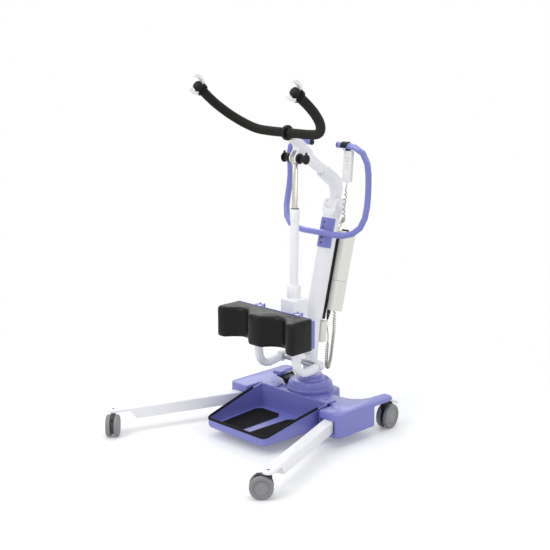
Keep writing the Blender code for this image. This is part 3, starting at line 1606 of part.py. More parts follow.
def tray_tab(side):
    """The flange that hooks over the chassis, with its locating hole."""
    x0, x1 = TAB_IN, TRAY_REAR_HALF - 0.003
    y0, y1 = TRAY_REAR - TRAY_WALL * 0.6, TRAY_REAR + TAB_BACK
    z0 = CHASSIS_TOP + GAP
    plan = rounded([(x0, y0, 0.0), (x1, y0, 0.0), (x1, y1, 0.010), (x0 + 0.012, y1, 0.010)], 3)
    return prism([(side * x, y) for x, y in plan], z0, z0 + TAB_T)


combine(tray, mirrored(tray_tab), "UNION")
TAB_X = (TAB_IN + TRAY_REAR_HALF) / 2.0 + 0.006
TAB_Y = TRAY_REAR + TAB_BACK * 0.55


def tab_bore(side):
    """The locating hole of one flange."""
    shape = rod(TAB_HOLE, CHASSIS_TOP - 0.01, CHASSIS_TOP + 0.02, 14)
    return place(shape, Matrix.Translation((side * TAB_X, TAB_Y, 0.0)))


combine(tray, mirrored(tab_bore))


def tab_stud(side):
    """A low stud on the chassis that fills the tab's hole."""
    top = CHASSIS_TOP + GAP + TAB_T * 0.7
    low = CHASSIS_TOP - 0.006
    profile = [(0.0, low), (TAB_PIN, low), (TAB_PIN, top - 0.001), (TAB_PIN - 0.001, top), (0.0, top)]
    return place(lathe(profile, 14), Matrix.Translation((side * TAB_X, TAB_Y, 0.0)))


combine(chassis, mirrored(tab_stud), "UNION")

# the trim runs on top of both side walls and the front lip
centre_line = [(x, y) for x, y in tray_line(TRAY_WALL / 2.0) if y < TRAY_REAR - 0.016]
right = [i for i, (x, y) in enumerate(centre_line) if x > 0.0]
start = max(right, key=lambda i: centre_line[i][1])
order = centre_line[start::-1] + centre_line[:start:-1]
rings = []
trail = [Vector((x, y, rim_height(y) + GAP)) for x, y in order]
for here, way in zip(trail, tangents(trail)):
    flat = Vector((way.x, way.y, 0.0)).normalized()
    out = Vector((flat.y, -flat.x, 0.0))
    half_w = TRIM_W / 2.0
    ring = []
    for across, rise in ((-1.0, 0.0), (-1.0, 0.55), (-0.5, 1.0), (0.5, 1.0), (1.0, 0.55), (1.0, 0.0)):
        spot = here + out * half_w * across
        ring.append(Vector((spot.x, spot.y, rim_height(spot.y) + GAP + TRIM_H * rise)))
    rings.append(ring)
add("tray_trim", skin(rings), BLACK, ROOT)


def tray_mat(side):
    """One anti-slip mat with slanted ends."""
    x_in, x_out_f, x_out_r = 0.018, TRAY_FRONT_HALF - 0.026, TRAY_REAR_HALF - 0.026
    y0, y1 = TRAY_FRONT + 0.020, TRAY_REAR - 0.034
    plan = rounded(
        [
            (x_in, y0, 0.006),
            (x_out_f, y0, 0.006),
            (x_out_r, y1 - 0.022, 0.006),
            (x_out_r - 0.014, y1, 0.006),
            (x_in + 0.026, y1, 0.006),
            (x_in + 0.004, y1 - 0.026, 0.006),
        ],
        2,
    )
    z0 = TRAY_LOW + TRAY_FLOOR + GAP
    bm = prism([(side * x, y) for x, y in plan], z0, z0 + MAT)
    soften(bm, 0.001, 1, level(z0 + MAT))
    return bm


for word, side in SIDES:
    add(f"tray_mat_{word}", tray_mat(side), BLACK, ROOT)

# lever that spreads the legs: a rocker beside the turret with a tread pad
lever_z = CHASSIS_TOP + 0.016
LEVER = frame("lever_axis", (LEVER_X, LEVER_Y, lever_z), parent=ROOT)
lever_foot = lever_z - CHASSIS_TOP - 0.0005
post_arm = rounded(
    [(x, z, 0.0) for x, z in arc(0.0, 0.0, lever_foot, -121.0, -75.0, 4)]
    + [
        (0.004, 0.006, 0.004),
        (-0.016, 0.010, 0.006),
        (-LEVER_OUT, 0.013, 0.004),
        (-LEVER_OUT, 0.006, 0.003),
        (-0.020, 0.002, 0.006),
    ],
    2,
)
upright = Matrix(((1, 0, 0, 0), (0, 0, 1, 0), (0, 1, 0, 0), (0, 0, 0, 1)))
add("spread_lever", place(prism(post_arm, -0.010, 0.010), upright), BLACK, LEVER)
tread = prism(oval(TREAD_W, TREAD_L, 0.007, 3), 0.013 + GAP, 0.027)
soften(tread, 0.004, 2, level(0.027))
tread = place(tread, Matrix.Translation((-LEVER_OUT + 0.004, 0.002, 0.0)))
add("spread_tread", tread, BLUE, LEVER)

# handset cord: straight out of the handset, curly behind the control unit, up into its plug
plug_at = mast_point(0.0, unit_v + UNIT_D * 0.51, UNIT_LOW)
lean_down = (mast_point(0.0, 0.0, -1.0) - mast_point(0.0, 0.0, 0.0)).normalized()
plug = lathe(
    [
        (0.0, GAP),
        (PLUG_R, GAP),
        (PLUG_R, PLUG_L * 0.4),
        (PLUG_R - 0.0015, PLUG_L * 0.45),
        (PLUG_R - 0.0015, PLUG_L * 0.65),
        (CORD_R + 0.001, PLUG_L),
        (0.0, PLUG_L),
    ],
    14,
)
aim = lean_down.to_track_quat("Z", "Y").to_matrix().to_4x4()
add("cord_plug", place(plug, Matrix.Translation(plug_at) @ aim), DARK, ROOT)

down = Vector((0.0, -math.sin(SET_LEAN), -math.cos(SET_LEAN)))
back = Vector((0.0, math.cos(SET_LEAN), -math.sin(SET_LEAN)))
exit_point = Vector((SET_X, GRIP_END.y, GRIP_END.z)) + back * (SET_D / 2.0 - SET_FRONT)
exit_point += down * (SET_DROP + SET_H + GAP)
entry = plug_at + lean_down * (PLUG_L + GAP)
route = [
    exit_point,
    exit_point + down * 0.014,
    Vector((0.096, 0.333, 0.882)),
    Vector((0.078, 0.349, 0.846)),
    Vector((0.060, 0.363, 0.808)),
    Vector((0.042, 0.384, 0.770)),
    Vector((0.010, 0.416, 0.747)),
    Vector((-0.016, 0.440, 0.740)),
    Vector((-0.036, 0.454, 0.727)),
    Vector((-0.0495, 0.4612, 0.706)),
    Vector((-0.0545, 0.4615, 0.675)),
    Vector((-0.0545, 0.4600, 0.600)),
    Vector((-0.055, 0.455, 0.500)),
    Vector((-0.055, 0.447, 0.400)),
    Vector((-0.049, 0.440, 0.352)),
    Vector((-0.034, 0.422, 0.310)),
    Vector((-0.024, 0.402, 0.258)),
    Vector((-0.018, 0.384, 0.200)),
    Vector((-0.013, 0.367, 0.180)),
    Vector((-0.008, 0.352, 0.200)),
    Vector((-0.004, 0.350, 0.258)),
    Vector((-0.001, 0.353, 0.310)),
    entry + lean_down * 0.014,
    entry,
]
axis = spaced(smooth(route, 10), 0.001)
ways = tangents(axis)
sides = carried(axis, Vector((1.0, 0.0, 0.0)))
total = len(axis) - 1
coil_from, coil_to = 40, total - 90
points = [exit_point, exit_point + down * 0.007, axis[16], axis[28]]
per_turn = 8


def curl_pitch(here):
    """Curls lie close in the hanging loop and are drawn out above it."""
    heights = ((0.18, 0.0145), (0.34, 0.0185), (0.42, 0.042), (0.70, 0.064), (0.78, 0.060), (0.90, 0.048))
    for (low, a), (high, b) in zip(heights, heights[1:]):
        if here.z <= high:
            return a + (b - a) * max(0.0, here.z - low) / (high - low)
    return heights[-1][1]


turned = [0.0]
for i in range(coil_from, coil_to):
    turned.append(turned[-1] + (axis[i + 1] - axis[i]).length / curl_pitch(axis[i]))
coil_steps = round(turned[-1]) * per_turn
spot = 0
for k in range(coil_steps + 1):
    want = turned[-1] * k / coil_steps
    while spot < len(turned) - 2 and turned[spot + 1] < want:
        spot += 1
    i = coil_from + spot
    here = axis[i].lerp(axis[i + 1], (want - turned[spot]) / (turned[spot + 1] - turned[spot]))
    side = sides[i]
    up = ways[i].cross(side)
    grow = min(1.0, 0.15 + min(k, coil_steps - k) / (per_turn * 1.5))
    angle = 2.0 * math.pi * k / per_turn
    points.append(here + (side * math.cos(angle) + up * math.sin(angle)) * COIL_R * grow)
points += [axis[total - 78], axis[total - 60], axis[total - 40], axis[total - 22]]
points += [entry + lean_down * 0.007, entry]
wire("handset_cord", points, CORD_R, OLIVE, ROOT, 1)

least = 1.0
for i in range(len(points)):
    for j in range(i + 5, min(len(points), i + 3 * per_turn)):
        least = min(least, (points[i] - points[j]).length - 2 * CORD_R)
print(f"handset_cord: {coil_steps // per_turn} curls, least gap between turns {least * 1000:.2f} mm")
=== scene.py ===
"""Electric stand-up patient lift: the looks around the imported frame."""

import json
import math

import bmesh
import bpy
from mathutils import Matrix, Vector
from mathutils.bvhtree import BVHTree
from mathutils.geometry import intersect_line_line_2d


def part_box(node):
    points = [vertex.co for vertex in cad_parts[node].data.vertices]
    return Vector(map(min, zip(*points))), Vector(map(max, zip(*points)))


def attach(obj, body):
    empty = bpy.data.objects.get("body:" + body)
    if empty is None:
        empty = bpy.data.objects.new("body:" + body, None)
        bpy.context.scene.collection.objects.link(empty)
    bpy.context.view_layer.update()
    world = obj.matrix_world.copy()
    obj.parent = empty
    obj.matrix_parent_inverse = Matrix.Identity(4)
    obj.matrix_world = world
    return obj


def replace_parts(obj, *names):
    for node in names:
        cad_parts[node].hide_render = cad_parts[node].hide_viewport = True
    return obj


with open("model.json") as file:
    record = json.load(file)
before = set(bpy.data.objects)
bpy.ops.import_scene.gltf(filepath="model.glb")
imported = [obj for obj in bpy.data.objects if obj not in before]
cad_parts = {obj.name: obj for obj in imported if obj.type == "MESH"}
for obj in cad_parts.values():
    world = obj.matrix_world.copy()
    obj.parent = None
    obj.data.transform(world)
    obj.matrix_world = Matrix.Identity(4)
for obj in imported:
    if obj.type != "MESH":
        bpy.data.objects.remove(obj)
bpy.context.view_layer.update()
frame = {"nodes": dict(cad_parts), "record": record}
NODES = frame["nodes"]
RECORD = frame["record"]
BODY_OF = {n: body for body, nodes in RECORD["behaviour"]["bodies"].items() for n in nodes}
SLOT_OF = {s["node"]: s["material_slot"] for s in RECORD["subparts"]}
COLLECTION = bpy.context.scene.collection

# the camera stands where the photographer stood
CAMERA_AT = (2.837, -2.7725, 1.511)
CAMERA_TURN = math.radians(45.15)
CAMERA_DIP = math.radians(12.91)
CAMERA_VIEW = math.radians(26.93)
camera_data = bpy.data.cameras.new("camera")
camera_data.angle = CAMERA_VIEW
camera = bpy.data.objects.new("camera", camera_data)
camera.location = CAMERA_AT
camera.rotation_euler = (math.pi / 2.0 - CAMERA_DIP, 0.0, CAMERA_TURN)
COLLECTION.objects.link(camera)
bpy.context.scene.camera = camera


# node materials
def ramp_values(tree, source, low, high):
    """Maps a 0..1 value to low..high."""
    node = tree.nodes.new("ShaderNodeMapRange")
    node.inputs["To Min"].default_value = low
    node.inputs["To Max"].default_value = high
    tree.links.new(source, node.inputs["Value"])
    return node.outputs["Result"]


def noise(tree, place, scale, detail=3.0, roughness=0.55):
    node = tree.nodes.new("ShaderNodeTexNoise")
    node.inputs["Scale"].default_value = scale
    node.inputs["Detail"].default_value = detail
    node.inputs["Roughness"].default_value = roughness
    tree.links.new(place, node.inputs["Vector"])
    return node.outputs["Fac"]


def cells(tree, place, scale):
    node = tree.nodes.new("ShaderNodeTexVoronoi")
    node.feature = "F1"
    node.inputs["Scale"].default_value = scale
    tree.links.new(place, node.inputs["Vector"])
    return node.outputs["Distance"]


def bump(tree, height, distance, strength, below=None):
    node = tree.nodes.new("ShaderNodeBump")
    node.inputs["Distance"].default_value = distance
    node.inputs["Strength"].default_value = strength
    tree.links.new(height, node.inputs["Height"])
    if below is not None:
        tree.links.new(below, node.inputs["Normal"])
    return node.outputs["Normal"]


def mixed(tree, share, first, second):
    """A colour between two, by share."""
    node = tree.nodes.new("ShaderNodeMix")
    node.data_type = "RGBA"
    node.inputs[6].default_value = (*first, 1.0)
    node.inputs[7].default_value = (*second, 1.0)
    tree.links.new(share, node.inputs[0])
    return node.outputs[2]


def toned(colour, factor):
    return tuple(min(1.0, c * factor) for c in colour)


CLOUD_SCALE, SPECK_SCALE, GLOSS_SCALE = 9.0, 160.0, 28.0
CLOUD_SHARE, SPECK_SHARE = 0.7, 0.3
COAT_ROUGH = 0.12
RELIEF_STRENGTH = 0.6


def surface(name, colour, rough, spread=0.05, swing=0.05, layers=(), coat=0.0, gloss_level=0.5):
    """A material with clouded colour, uneven gloss and one or more layers of relief.

    Each layer is (kind, scale, depth in metres)."""
    made = bpy.data.materials.new(name)
    made.use_nodes = True
    tree = made.node_tree
    shader = tree.nodes["Principled BSDF"]
    place = tree.nodes.new("ShaderNodeTexCoord").outputs["Object"]
    cloud = noise(tree, place, CLOUD_SCALE, 4.0)
    speck = noise(tree, place, SPECK_SCALE, 2.0)
    both = tree.nodes.new("ShaderNodeMath")
    both.operation = "MULTIPLY_ADD"
    both.inputs[1].default_value = CLOUD_SHARE
    tree.links.new(cloud, both.inputs[0])
    tree.links.new(ramp_values(tree, speck, 0.0, SPECK_SHARE), both.inputs[2])
    tint = mixed(tree, both.outputs[0], toned(colour, 1.0 - spread), toned(colour, 1.0 + spread))
    tree.links.new(tint, shader.inputs["Base Color"])
    gloss = ramp_values(tree, noise(tree, place, GLOSS_SCALE, 4.0), rough - swing, rough + swing)
    tree.links.new(gloss, shader.inputs["Roughness"])
    shader.inputs["Coat Weight"].default_value = coat
    shader.inputs["Coat Roughness"].default_value = COAT_ROUGH
    shader.inputs["Specular IOR Level"].default_value = gloss_level
    relief = None
    for kind, scale, depth in layers:
        height = noise(tree, place, scale, 2.0) if kind == "noise" else cells(tree, place, scale)
        relief = bump(tree, height, depth, RELIEF_STRENGTH, relief)
    if relief is not None:
        tree.links.new(relief, shader.inputs["Normal"])
    return made


LINE_SCALE, LINE_DEPTH = 60.0, 0.00003


def brushed(name, colour, rough, stretch):
    """Metal with fine lines drawn out along one axis of the object."""
    made = bpy.data.materials.new(name)
    made.use_nodes = True
    tree = made.node_tree
    shader = tree.nodes["Principled BSDF"]
    place = tree.nodes.new("ShaderNodeTexCoord").outputs["Object"]
    scaled = tree.nodes.new("ShaderNodeMapping")
    scaled.inputs["Scale"].default_value = stretch
    tree.links.new(place, scaled.inputs["Vector"])
    lines = noise(tree, scaled.outputs["Vector"], LINE_SCALE, 3.0)
    gloss = ramp_values(tree, lines, rough * 0.7, rough * 1.4)
    tree.links.new(gloss, shader.inputs["Roughness"])
    tint = mixed(tree, noise(tree, place, 12.0, 3.0), toned(colour, 0.94), toned(colour, 1.04))
    tree.links.new(tint, shader.inputs["Base Color"])
    shader.inputs["Metallic"].default_value = 1.0
    tree.links.new(bump(tree, lines, LINE_DEPTH, 0.5), shader.inputs["Normal"])
    return made


POWDER = (("noise", 420.0, 0.00008), ("noise", 1500.0, 0.00003))
MOULDED = (("cell", 900.0, 0.00006), ("noise", 300.0, 0.00003))
GRAINED = (("cell", 520.0, 0.0003),)
FOAMED = (("cell", 700.0, 0.0004), ("noise", 160.0, 0.0005))
LEATHER = (("cell", 420.0, 0.0003), ("noise", 60.0, 0.0008), ("noise", 18.0, 0.002))
TYRE = (("noise", 260.0, 0.0001),)
JACKET = (("noise", 300.0, 0.00006),)
# slot: colour, roughness and what else surface() takes
PAINTS = {
    "blue_paint": ((0.165, 0.172, 0.50), 0.36, {"layers": POWDER, "coat": 0.45}),
    "white_paint": ((0.84, 0.84, 0.86), 0.36, {"spread": 0.02, "layers": POWDER, "coat": 0.25}),
    "white_plastic": ((0.85, 0.85, 0.86), 0.42, {"spread": 0.02, "layers": MOULDED}),
    "cream_plastic": ((0.79, 0.78, 0.71), 0.50, {"spread": 0.02, "layers": MOULDED}),
    "wheel_grey": ((0.21, 0.21, 0.22), 0.50, {"layers": TYRE}),
    "dark_plastic": ((0.05, 0.05, 0.055), 0.52, {"layers": MOULDED, "gloss_level": 0.3}),
    "black_plastic": ((0.006, 0.006, 0.007), 0.38, {"layers": MOULDED, "gloss_level": 0.25}),
    "black_rubber": ((0.006, 0.006, 0.007), 0.60, {"layers": GRAINED, "gloss_level": 0.12}),
    "black_foam": ((0.014, 0.013, 0.011), 0.75, {"layers": FOAMED, "gloss_level": 0.18}),
    "black_upholstery": (
        (0.005, 0.0045, 0.004),
        0.36,
        {"spread": 0.15, "swing": 0.10, "layers": LEATHER, "gloss_level": 0.22},
    ),
    "light_shell": ((0.80, 0.80, 0.79), 0.45, {"spread": 0.02, "layers": MOULDED}),
    "red_plastic": ((0.60, 0.02, 0.02), 0.35, {"layers": MOULDED, "coat": 0.2}),
    "olive_cord": ((0.42, 0.42, 0.35), 0.50, {"layers": JACKET}),
}
LOOKS = {slot: surface(slot, colour, rough, **more) for slot, (colour, rough, more) in PAINTS.items()}
LOOKS["bright_steel"] = brushed("bright_steel", (0.60, 0.58, 0.53), 0.16, (1.0, 1.0, 0.02))
LOOKS["plain_steel"] = brushed("plain_steel", (0.50, 0.50, 0.51), 0.32, (0.02, 1.0, 1.0))
SCREW = brushed("screw", (0.05, 0.05, 0.055), 0.35, (1.0, 1.0, 1.0))


# pieces
def finish(mesh, name, node_slot, body, look=None):
    """An object of the mesh that rides on a body."""
    piece = bpy.data.objects.new(name, mesh)
    COLLECTION.objects.link(piece)
    mesh.materials.clear()
    mesh.materials.append(look or LOOKS[node_slot])
    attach(piece, body)
    return piece


def smoothed(mesh, degrees):
    mesh.shade_smooth()
    mesh.set_sharp_from_angle(angle=math.radians(degrees))
    return mesh


def made_of(bm, name, node_slot, body, look=None, degrees=38.0):
    """As finish, from bmesh."""
    bmesh.ops.recalc_face_normals(bm, faces=bm.faces)
    mesh = bpy.data.meshes.new(name)
    bm.to_mesh(mesh)
    bm.free()
    return finish(smoothed(mesh, degrees), name, node_slot, body, look)


WELD = 2e-6
FLAT_ANGLE = math.radians(0.6)
EASE_ANGLE = math.radians(40.0)


def welded(node):
    """The node's mesh with its split corners joined and its flat faces whole again."""
    bm = bmesh.new()
    bm.from_mesh(NODES[node].data)
    bmesh.ops.remove_doubles(bm, verts=bm.verts, dist=WELD)
    bmesh.ops.dissolve_limit(bm, angle_limit=FLAT_ANGLE, verts=bm.verts, edges=bm.edges)
    return bm


# nodes whose finish in the photograph is nearer to another slot's
SHOWN_AS = {"button_up": "light_shell", "button_down": "light_shell", "boom_pin": "white_paint"}


def redrawn(node, radius, degrees):
    """A smooth-shaded copy of a rigid node with its sharp edges eased."""
    bm = welded(node)
    mesh = bpy.data.meshes.new(node)
    bm.to_mesh(mesh)
    bm.free()
    slot = SHOWN_AS.get(node, SLOT_OF[node])
    piece = finish(smoothed(mesh, degrees), f"{node}_shape", slot, BODY_OF[node])
    if radius > 0.0:
        ease = piece.modifiers.new("ease", "BEVEL")
        ease.width = radius
        ease.segments = 2
        ease.limit_method = "ANGLE"
        ease.angle_limit = EASE_ANGLE
        ease.harden_normals = True
    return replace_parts(piece, node)


def turned(profile, steps, aim):
    """A body turned about local Z from (radius, height) points, then placed by aim."""
    bm = bmesh.new()
    points = [bm.verts.new((r, 0.0, z)) for r, z in profile]
    lines = [bm.edges.new(pair) for pair in zip(points, points[1:])]
    bmesh.ops.spin(
        bm,
        geom=points + lines,
        cent=(0.0, 0.0, 0.0),
        axis=(0.0, 0.0, 1.0),
        angle=2.0 * math.pi,
        steps=steps,
        use_duplicate=False,
    )
    bmesh.ops.remove_doubles(bm, verts=bm.verts, dist=1e-7)
    bmesh.ops.transform(bm, matrix=aim, verts=bm.verts)
    return bm


def aimed(at, way):
    """A frame at a point whose Z runs along way."""
    return Matrix.Translation(at) @ Vector(way).to_track_quat("Z", "Y").to_matrix().to_4x4()


def screw_profile(radius, height):
    """Half the outline of a socket screw's head, with its recess."""
    return [
        (0.0, -0.0004),
        (radius, -0.0004),
        (radius, height * 0.55),
        (radius * 0.82, height),
        (radius * 0.50, height),
        (radius * 0.46, height * 0.35),
        (0.0, height * 0.30),
    ]


def smooth_line(points, pieces):
    """A smooth line through points, with pieces steps in each span."""
    p = [Vector(q) for q in points]
    p = [2 * p[0] - p[1]] + p + [2 * p[-1] - p[-2]]
    out = []
    for i in range(1, len(p) - 2):
        a, b, c, d = p[i - 1], p[i], p[i + 1], p[i + 2]
        for k in range(pieces):
            t = k / pieces
            first = 2.0 * b + (c - a) * t
            second = (2.0 * a - 5.0 * b + 4.0 * c - d) * t * t
            third = (3.0 * b - a - 3.0 * c + d) * t * t * t
            out.append(0.5 * (first + second + third))
    out.append(p[-2])
    return out


def spaced(points, step):
    """The same line with points at even distances of about step."""
    lengths = [0.0]
    for a, b in zip(points, points[1:]):
        lengths.append(lengths[-1] + (b - a).length)
    count = max(2, round(lengths[-1] / step))
    out = []
    spot = 0
    for k in range(count + 1):
        want = lengths[-1] * k / count
        while spot < len(points) - 2 and lengths[spot + 1] < want:
            spot += 1
        span = lengths[spot + 1] - lengths[spot]
        out.append(points[spot].lerp(points[spot + 1], (want - lengths[spot]) / span))
    return out


def tangents(points):
    last = len(points) - 1
    return [(points[min(i + 1, last)] - points[max(i - 1, 0)]).normalized() for i in range(last + 1)]


def carried(points, first):
    """A side vector for each point of a line, carried along it without twist."""
    side = Vector(first)
    out = []
    for way in tangents(points):
        side = (side - way * side.dot(way)).normalized()
        out.append(side)
    return out


def tube(points, radii, sides, first):
    """A closed round tube along points."""
    bm = bmesh.new()
    rings = []
    for here, way, side, radius in zip(points, tangents(points), carried(points, first), radii):
        up = way.cross(side)
        ring = []
        for k in range(sides):
            angle = 2.0 * math.pi * k / sides
            ring.append(bm.verts.new(here + (side * math.cos(angle) + up * math.sin(angle)) * radius))
        rings.append(ring)
    for near, far in zip(rings, rings[1:]):
        for k in range(sides):
            j = (k + 1) % sides
            bm.faces.new((near[k], near[j], far[j], far[k]))
    bm.faces.new(rings[0][::-1])
    bm.faces.new(rings[-1])
    return bm


# handset cord, hung from the handset round the mast and back up to its plug
CORD_R = 0.0021
COIL_R = 0.0050
PER_TURN = 14
EXIT = Vector((0.114, 0.300646, 0.914656))
ENTRY = Vector((0.0, 0.328851, 0.375622))
HANDSET_DOWN = Vector((0.0, -0.087156, -0.996195))
MAST_DOWN = Vector((0.0, -0.241922, -0.970296))
CORD_ROUTE = [
    EXIT,
    EXIT + HANDSET_DOWN * 0.014,
    (0.096, 0.3155, 0.882),
    (0.078, 0.3315, 0.846),
    (0.060, 0.3455, 0.808),
    (0.042, 0.3665, 0.770),
    (0.010, 0.3985, 0.747),
    (-0.016, 0.4225, 0.740),
    (-0.036, 0.4365, 0.727),
    (-0.0495, 0.4437, 0.706),
    (-0.0545, 0.4440, 0.675),
    (-0.0545, 0.4425, 0.600),
    (-0.055, 0.4375, 0.500),
    (-0.055, 0.4295, 0.400),
    (-0.049, 0.4225, 0.352),
    (-0.034, 0.4045, 0.310),
    (-0.024, 0.3845, 0.258),
    (-0.018, 0.3665, 0.200),
    (-0.013, 0.3495, 0.180),
    (-0.008, 0.3345, 0.200),
    (-0.004, 0.3325, 0.258),
    (-0.001, 0.3355, 0.310),
    ENTRY + MAST_DOWN * 0.014,
    ENTRY,
]
AXIS_STEP = 0.0008
COIL_FROM, COIL_TO = 50, 112  # axis points from either end of the route to the coil
LEAD_OUT = (16, 26, 36)
LEAD_IN = (98, 80, 60, 40, 22)
LEAD = 0.006
TAPER_TURNS, TAPER_LEAST = 1.8, 0.10
# height and pitch of the curls, from the hanging loop up
CURLS = ((0.18, 0.0062), (0.34, 0.0085), (0.42, 0.018), (0.70, 0.026), (0.78, 0.026), (0.90, 0.020))


def curl_pitch(height):
    for (low, a), (high, b) in zip(CURLS, CURLS[1:]):
        if height <= high:
            return a + (b - a) * max(0.0, height - low) / (high - low)
    return CURLS[-1][1]


def cord_points():
    """The centre line of the cord: straight ends and one unbroken coil between them."""
    axis = spaced(smooth_line(CORD_ROUTE, 10), AXIS_STEP)
    ways = tangents(axis)
    sides = carried(axis, (1.0, 0.0, 0.0))
    total = len(axis) - 1
    turned_by = [0.0]
    for i in range(COIL_FROM, total - COIL_TO):
        turned_by.append(turned_by[-1] + (axis[i + 1] - axis[i]).length / curl_pitch(axis[i].z))
    steps = round(turned_by[-1]) * PER_TURN
    out = [EXIT, EXIT + HANDSET_DOWN * LEAD] + [axis[k] for k in LEAD_OUT]
    spot = 0
    for k in range(steps + 1):
        want = turned_by[-1] * k / steps
        while spot < len(turned_by) - 2 and turned_by[spot + 1] < want:
            spot += 1
        i = COIL_FROM + spot
        part = (want - turned_by[spot]) / (turned_by[spot + 1] - turned_by[spot])
        here = axis[i].lerp(axis[i + 1], part)
        side = sides[i]
        up = ways[i].cross(side)
        grow = min(1.0, TAPER_LEAST + min(k, steps - k) / (PER_TURN * TAPER_TURNS))
        angle = 2.0 * math.pi * k / PER_TURN
        out.append(here + (side * math.cos(angle) + up * math.sin(angle)) * COIL_R * grow)
    out += [axis[total - k] for k in LEAD_IN]
    return out + [ENTRY + MAST_DOWN * LEAD, ENTRY]


line = cord_points()
cord_curve = bpy.data.curves.new("handset_cord_jacket", "CURVE")
cord_curve.dimensions = "3D"
spline = cord_curve.splines.new("POLY")
spline.points.add(len(line) - 1)
for knot, point in zip(spline.points, line):
    knot.co = (*point, 1.0)
cord_curve.bevel_depth = CORD_R
cord_curve.bevel_resolution = 3
cord_curve.use_fill_caps = True
cord_curve.materials.append(LOOKS["olive_cord"])
cord = bpy.data.objects.new("handset_cord_jacket", cord_curve)
COLLECTION.objects.link(cord)
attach(cord, "base")
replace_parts(cord, "handset_cord")

# rigid pieces keep the solids' shapes, with smooth shading and eased edges
SMOOTH_DEGREES = 34.0
EASED = 0.0005
SOFT = {"knee_cushion", "grip_left", "grip_right", "handset_cord", "tray_mat_left", "tray_mat_right"}
EASE = {"chassis": 0.0010, "foot_tray": 0.0008, "leg_left": 0.0012, "leg_right": 0.0012}
for node in sorted(NODES):
    if node not in SOFT:
        redrawn(node, EASE.get(node, EASED), SMOOTH_DEGREES)

# strain relief where the cord leaves the handset
relief = [(0.0, -0.0005), (0.0042, -0.0005), (0.0042, 0.003), (0.0036, 0.004), (0.0038, 0.005)]
relief += [(0.0032, 0.0065), (0.0034, 0.0075), (0.0028, 0.009), (0.0, 0.009)]
aim = aimed(EXIT + HANDSET_DOWN * 0.0008, HANDSET_DOWN)
made_of(turned(relief, 20, aim), "handset_relief", "light_shell", "base")

# spreader bar's foam grips, with the fine ribs of a pulled-on sleeve
HORN = Vector((0.0, 0.110513, 1.097037))
HORN_SLOPE = math.radians(38.0)
HORN_FLAT, HORN_HALF, HORN_LENGTH, HORN_STRAIGHT = 0.120, 0.240, 0.268, 0.054
GRIP_R = 0.0168
GRIP_SIDES = 28
GRIP_FROM = 0.0078  # clear of the horn's clamp
GRIP_PAST = 0.0028  # past the bar's end
END_ROUND, END_DRAW = 0.0035, 0.0030
RIB = 0.0055
RIB_DEPTH = 0.00035
PER_RIB = 6
BAND_BACK = 0.0362
# profiles of the black band round a hook's foot and of the plug in the bar's end
HOOK_BAND = [(0.0172, 0.0), (0.0222, 0.0), (0.0230, 0.0010), (0.0230, 0.0125)]
HOOK_BAND += [(0.0222, 0.0135), (0.0172, 0.0135), (0.0172, 0.0)]
BAR_PLUG = [(0.0, -0.004), (0.0095, -0.004), (0.0108, -0.0005), (0.0104, 0.0009), (0.0, 0.0012)]
horn_up = Vector((0.0, -math.cos(HORN_SLOPE), math.sin(HORN_SLOPE)))


def grip_line():
    swell = HORN_HALF - HORN_FLAT
    plan = [
        (0.0, 0.0),
        (HORN_FLAT * 0.45, 0.0),
        (HORN_FLAT * 0.85, 0.001),
        (HORN_FLAT + swell * 0.25, 0.035 * HORN_LENGTH),
        (HORN_FLAT + swell * 0.58, 0.155 * HORN_LENGTH),
        (HORN_FLAT + swell * 0.83, 0.335 * HORN_LENGTH),
        (HORN_FLAT + swell * 0.97, 0.545 * HORN_LENGTH),
        (HORN_HALF, 0.720 * HORN_LENGTH),
        (HORN_HALF - 0.001, HORN_LENGTH - HORN_STRAIGHT),
    ]
    middle = smooth_line([HORN + Vector((x, 0.0, 0.0)) + horn_up * u for x, u in plan], 12)
    last = (middle[-1] - middle[-2]).normalized()
    return middle + [middle[-1] + last * (HORN_STRAIGHT + GRIP_PAST) * k / 8.0 for k in range(1, 9)]


for word, side in (("left", -1.0), ("right", 1.0)):
    middle = [p for p in spaced(grip_line(), RIB / PER_RIB) if p.x > GRIP_FROM]
    middle = [Vector((side * p.x, p.y, p.z)) for p in middle]
    radii = []
    for i in range(len(middle)):
        from_end = min(i, len(middle) - 1 - i) * RIB / PER_RIB
        ease = math.sqrt(max(0.0, 1.0 - (1.0 - min(1.0, from_end / END_ROUND)) ** 2))
        ribbed = GRIP_R - RIB_DEPTH * (0.5 - 0.5 * math.cos(2.0 * math.pi * i / PER_RIB))
        radii.append(ribbed - END_DRAW * (1.0 - ease))
    sleeve = tube(middle, radii, GRIP_SIDES, horn_up)
    sleeve = made_of(sleeve, f"grip_{word}_foam", "black_foam", "boom", degrees=80.0)
    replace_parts(sleeve, f"grip_{word}")
    end_way = (middle[-1] - middle[-2]).normalized()
    foot = aimed(middle[-1] - end_way * BAND_BACK, end_way)
    made_of(turned(HOOK_BAND, 32, foot), f"hook_band_{word}", "black_rubber", "boom")
    plug = turned(BAR_PLUG, 28, aimed(middle[-1], end_way))
    made_of(plug, f"bar_plug_{word}", "black_plastic", "boom")


# knee cushion: two knee hollows between three pillars of foam under stretched cover
COVER_STIFF, COVER_BEND, COVER_MASS = 18.0, 0.6, 0.3
COVER_PRESSURE = 3.0
COVER_FRAMES = 20


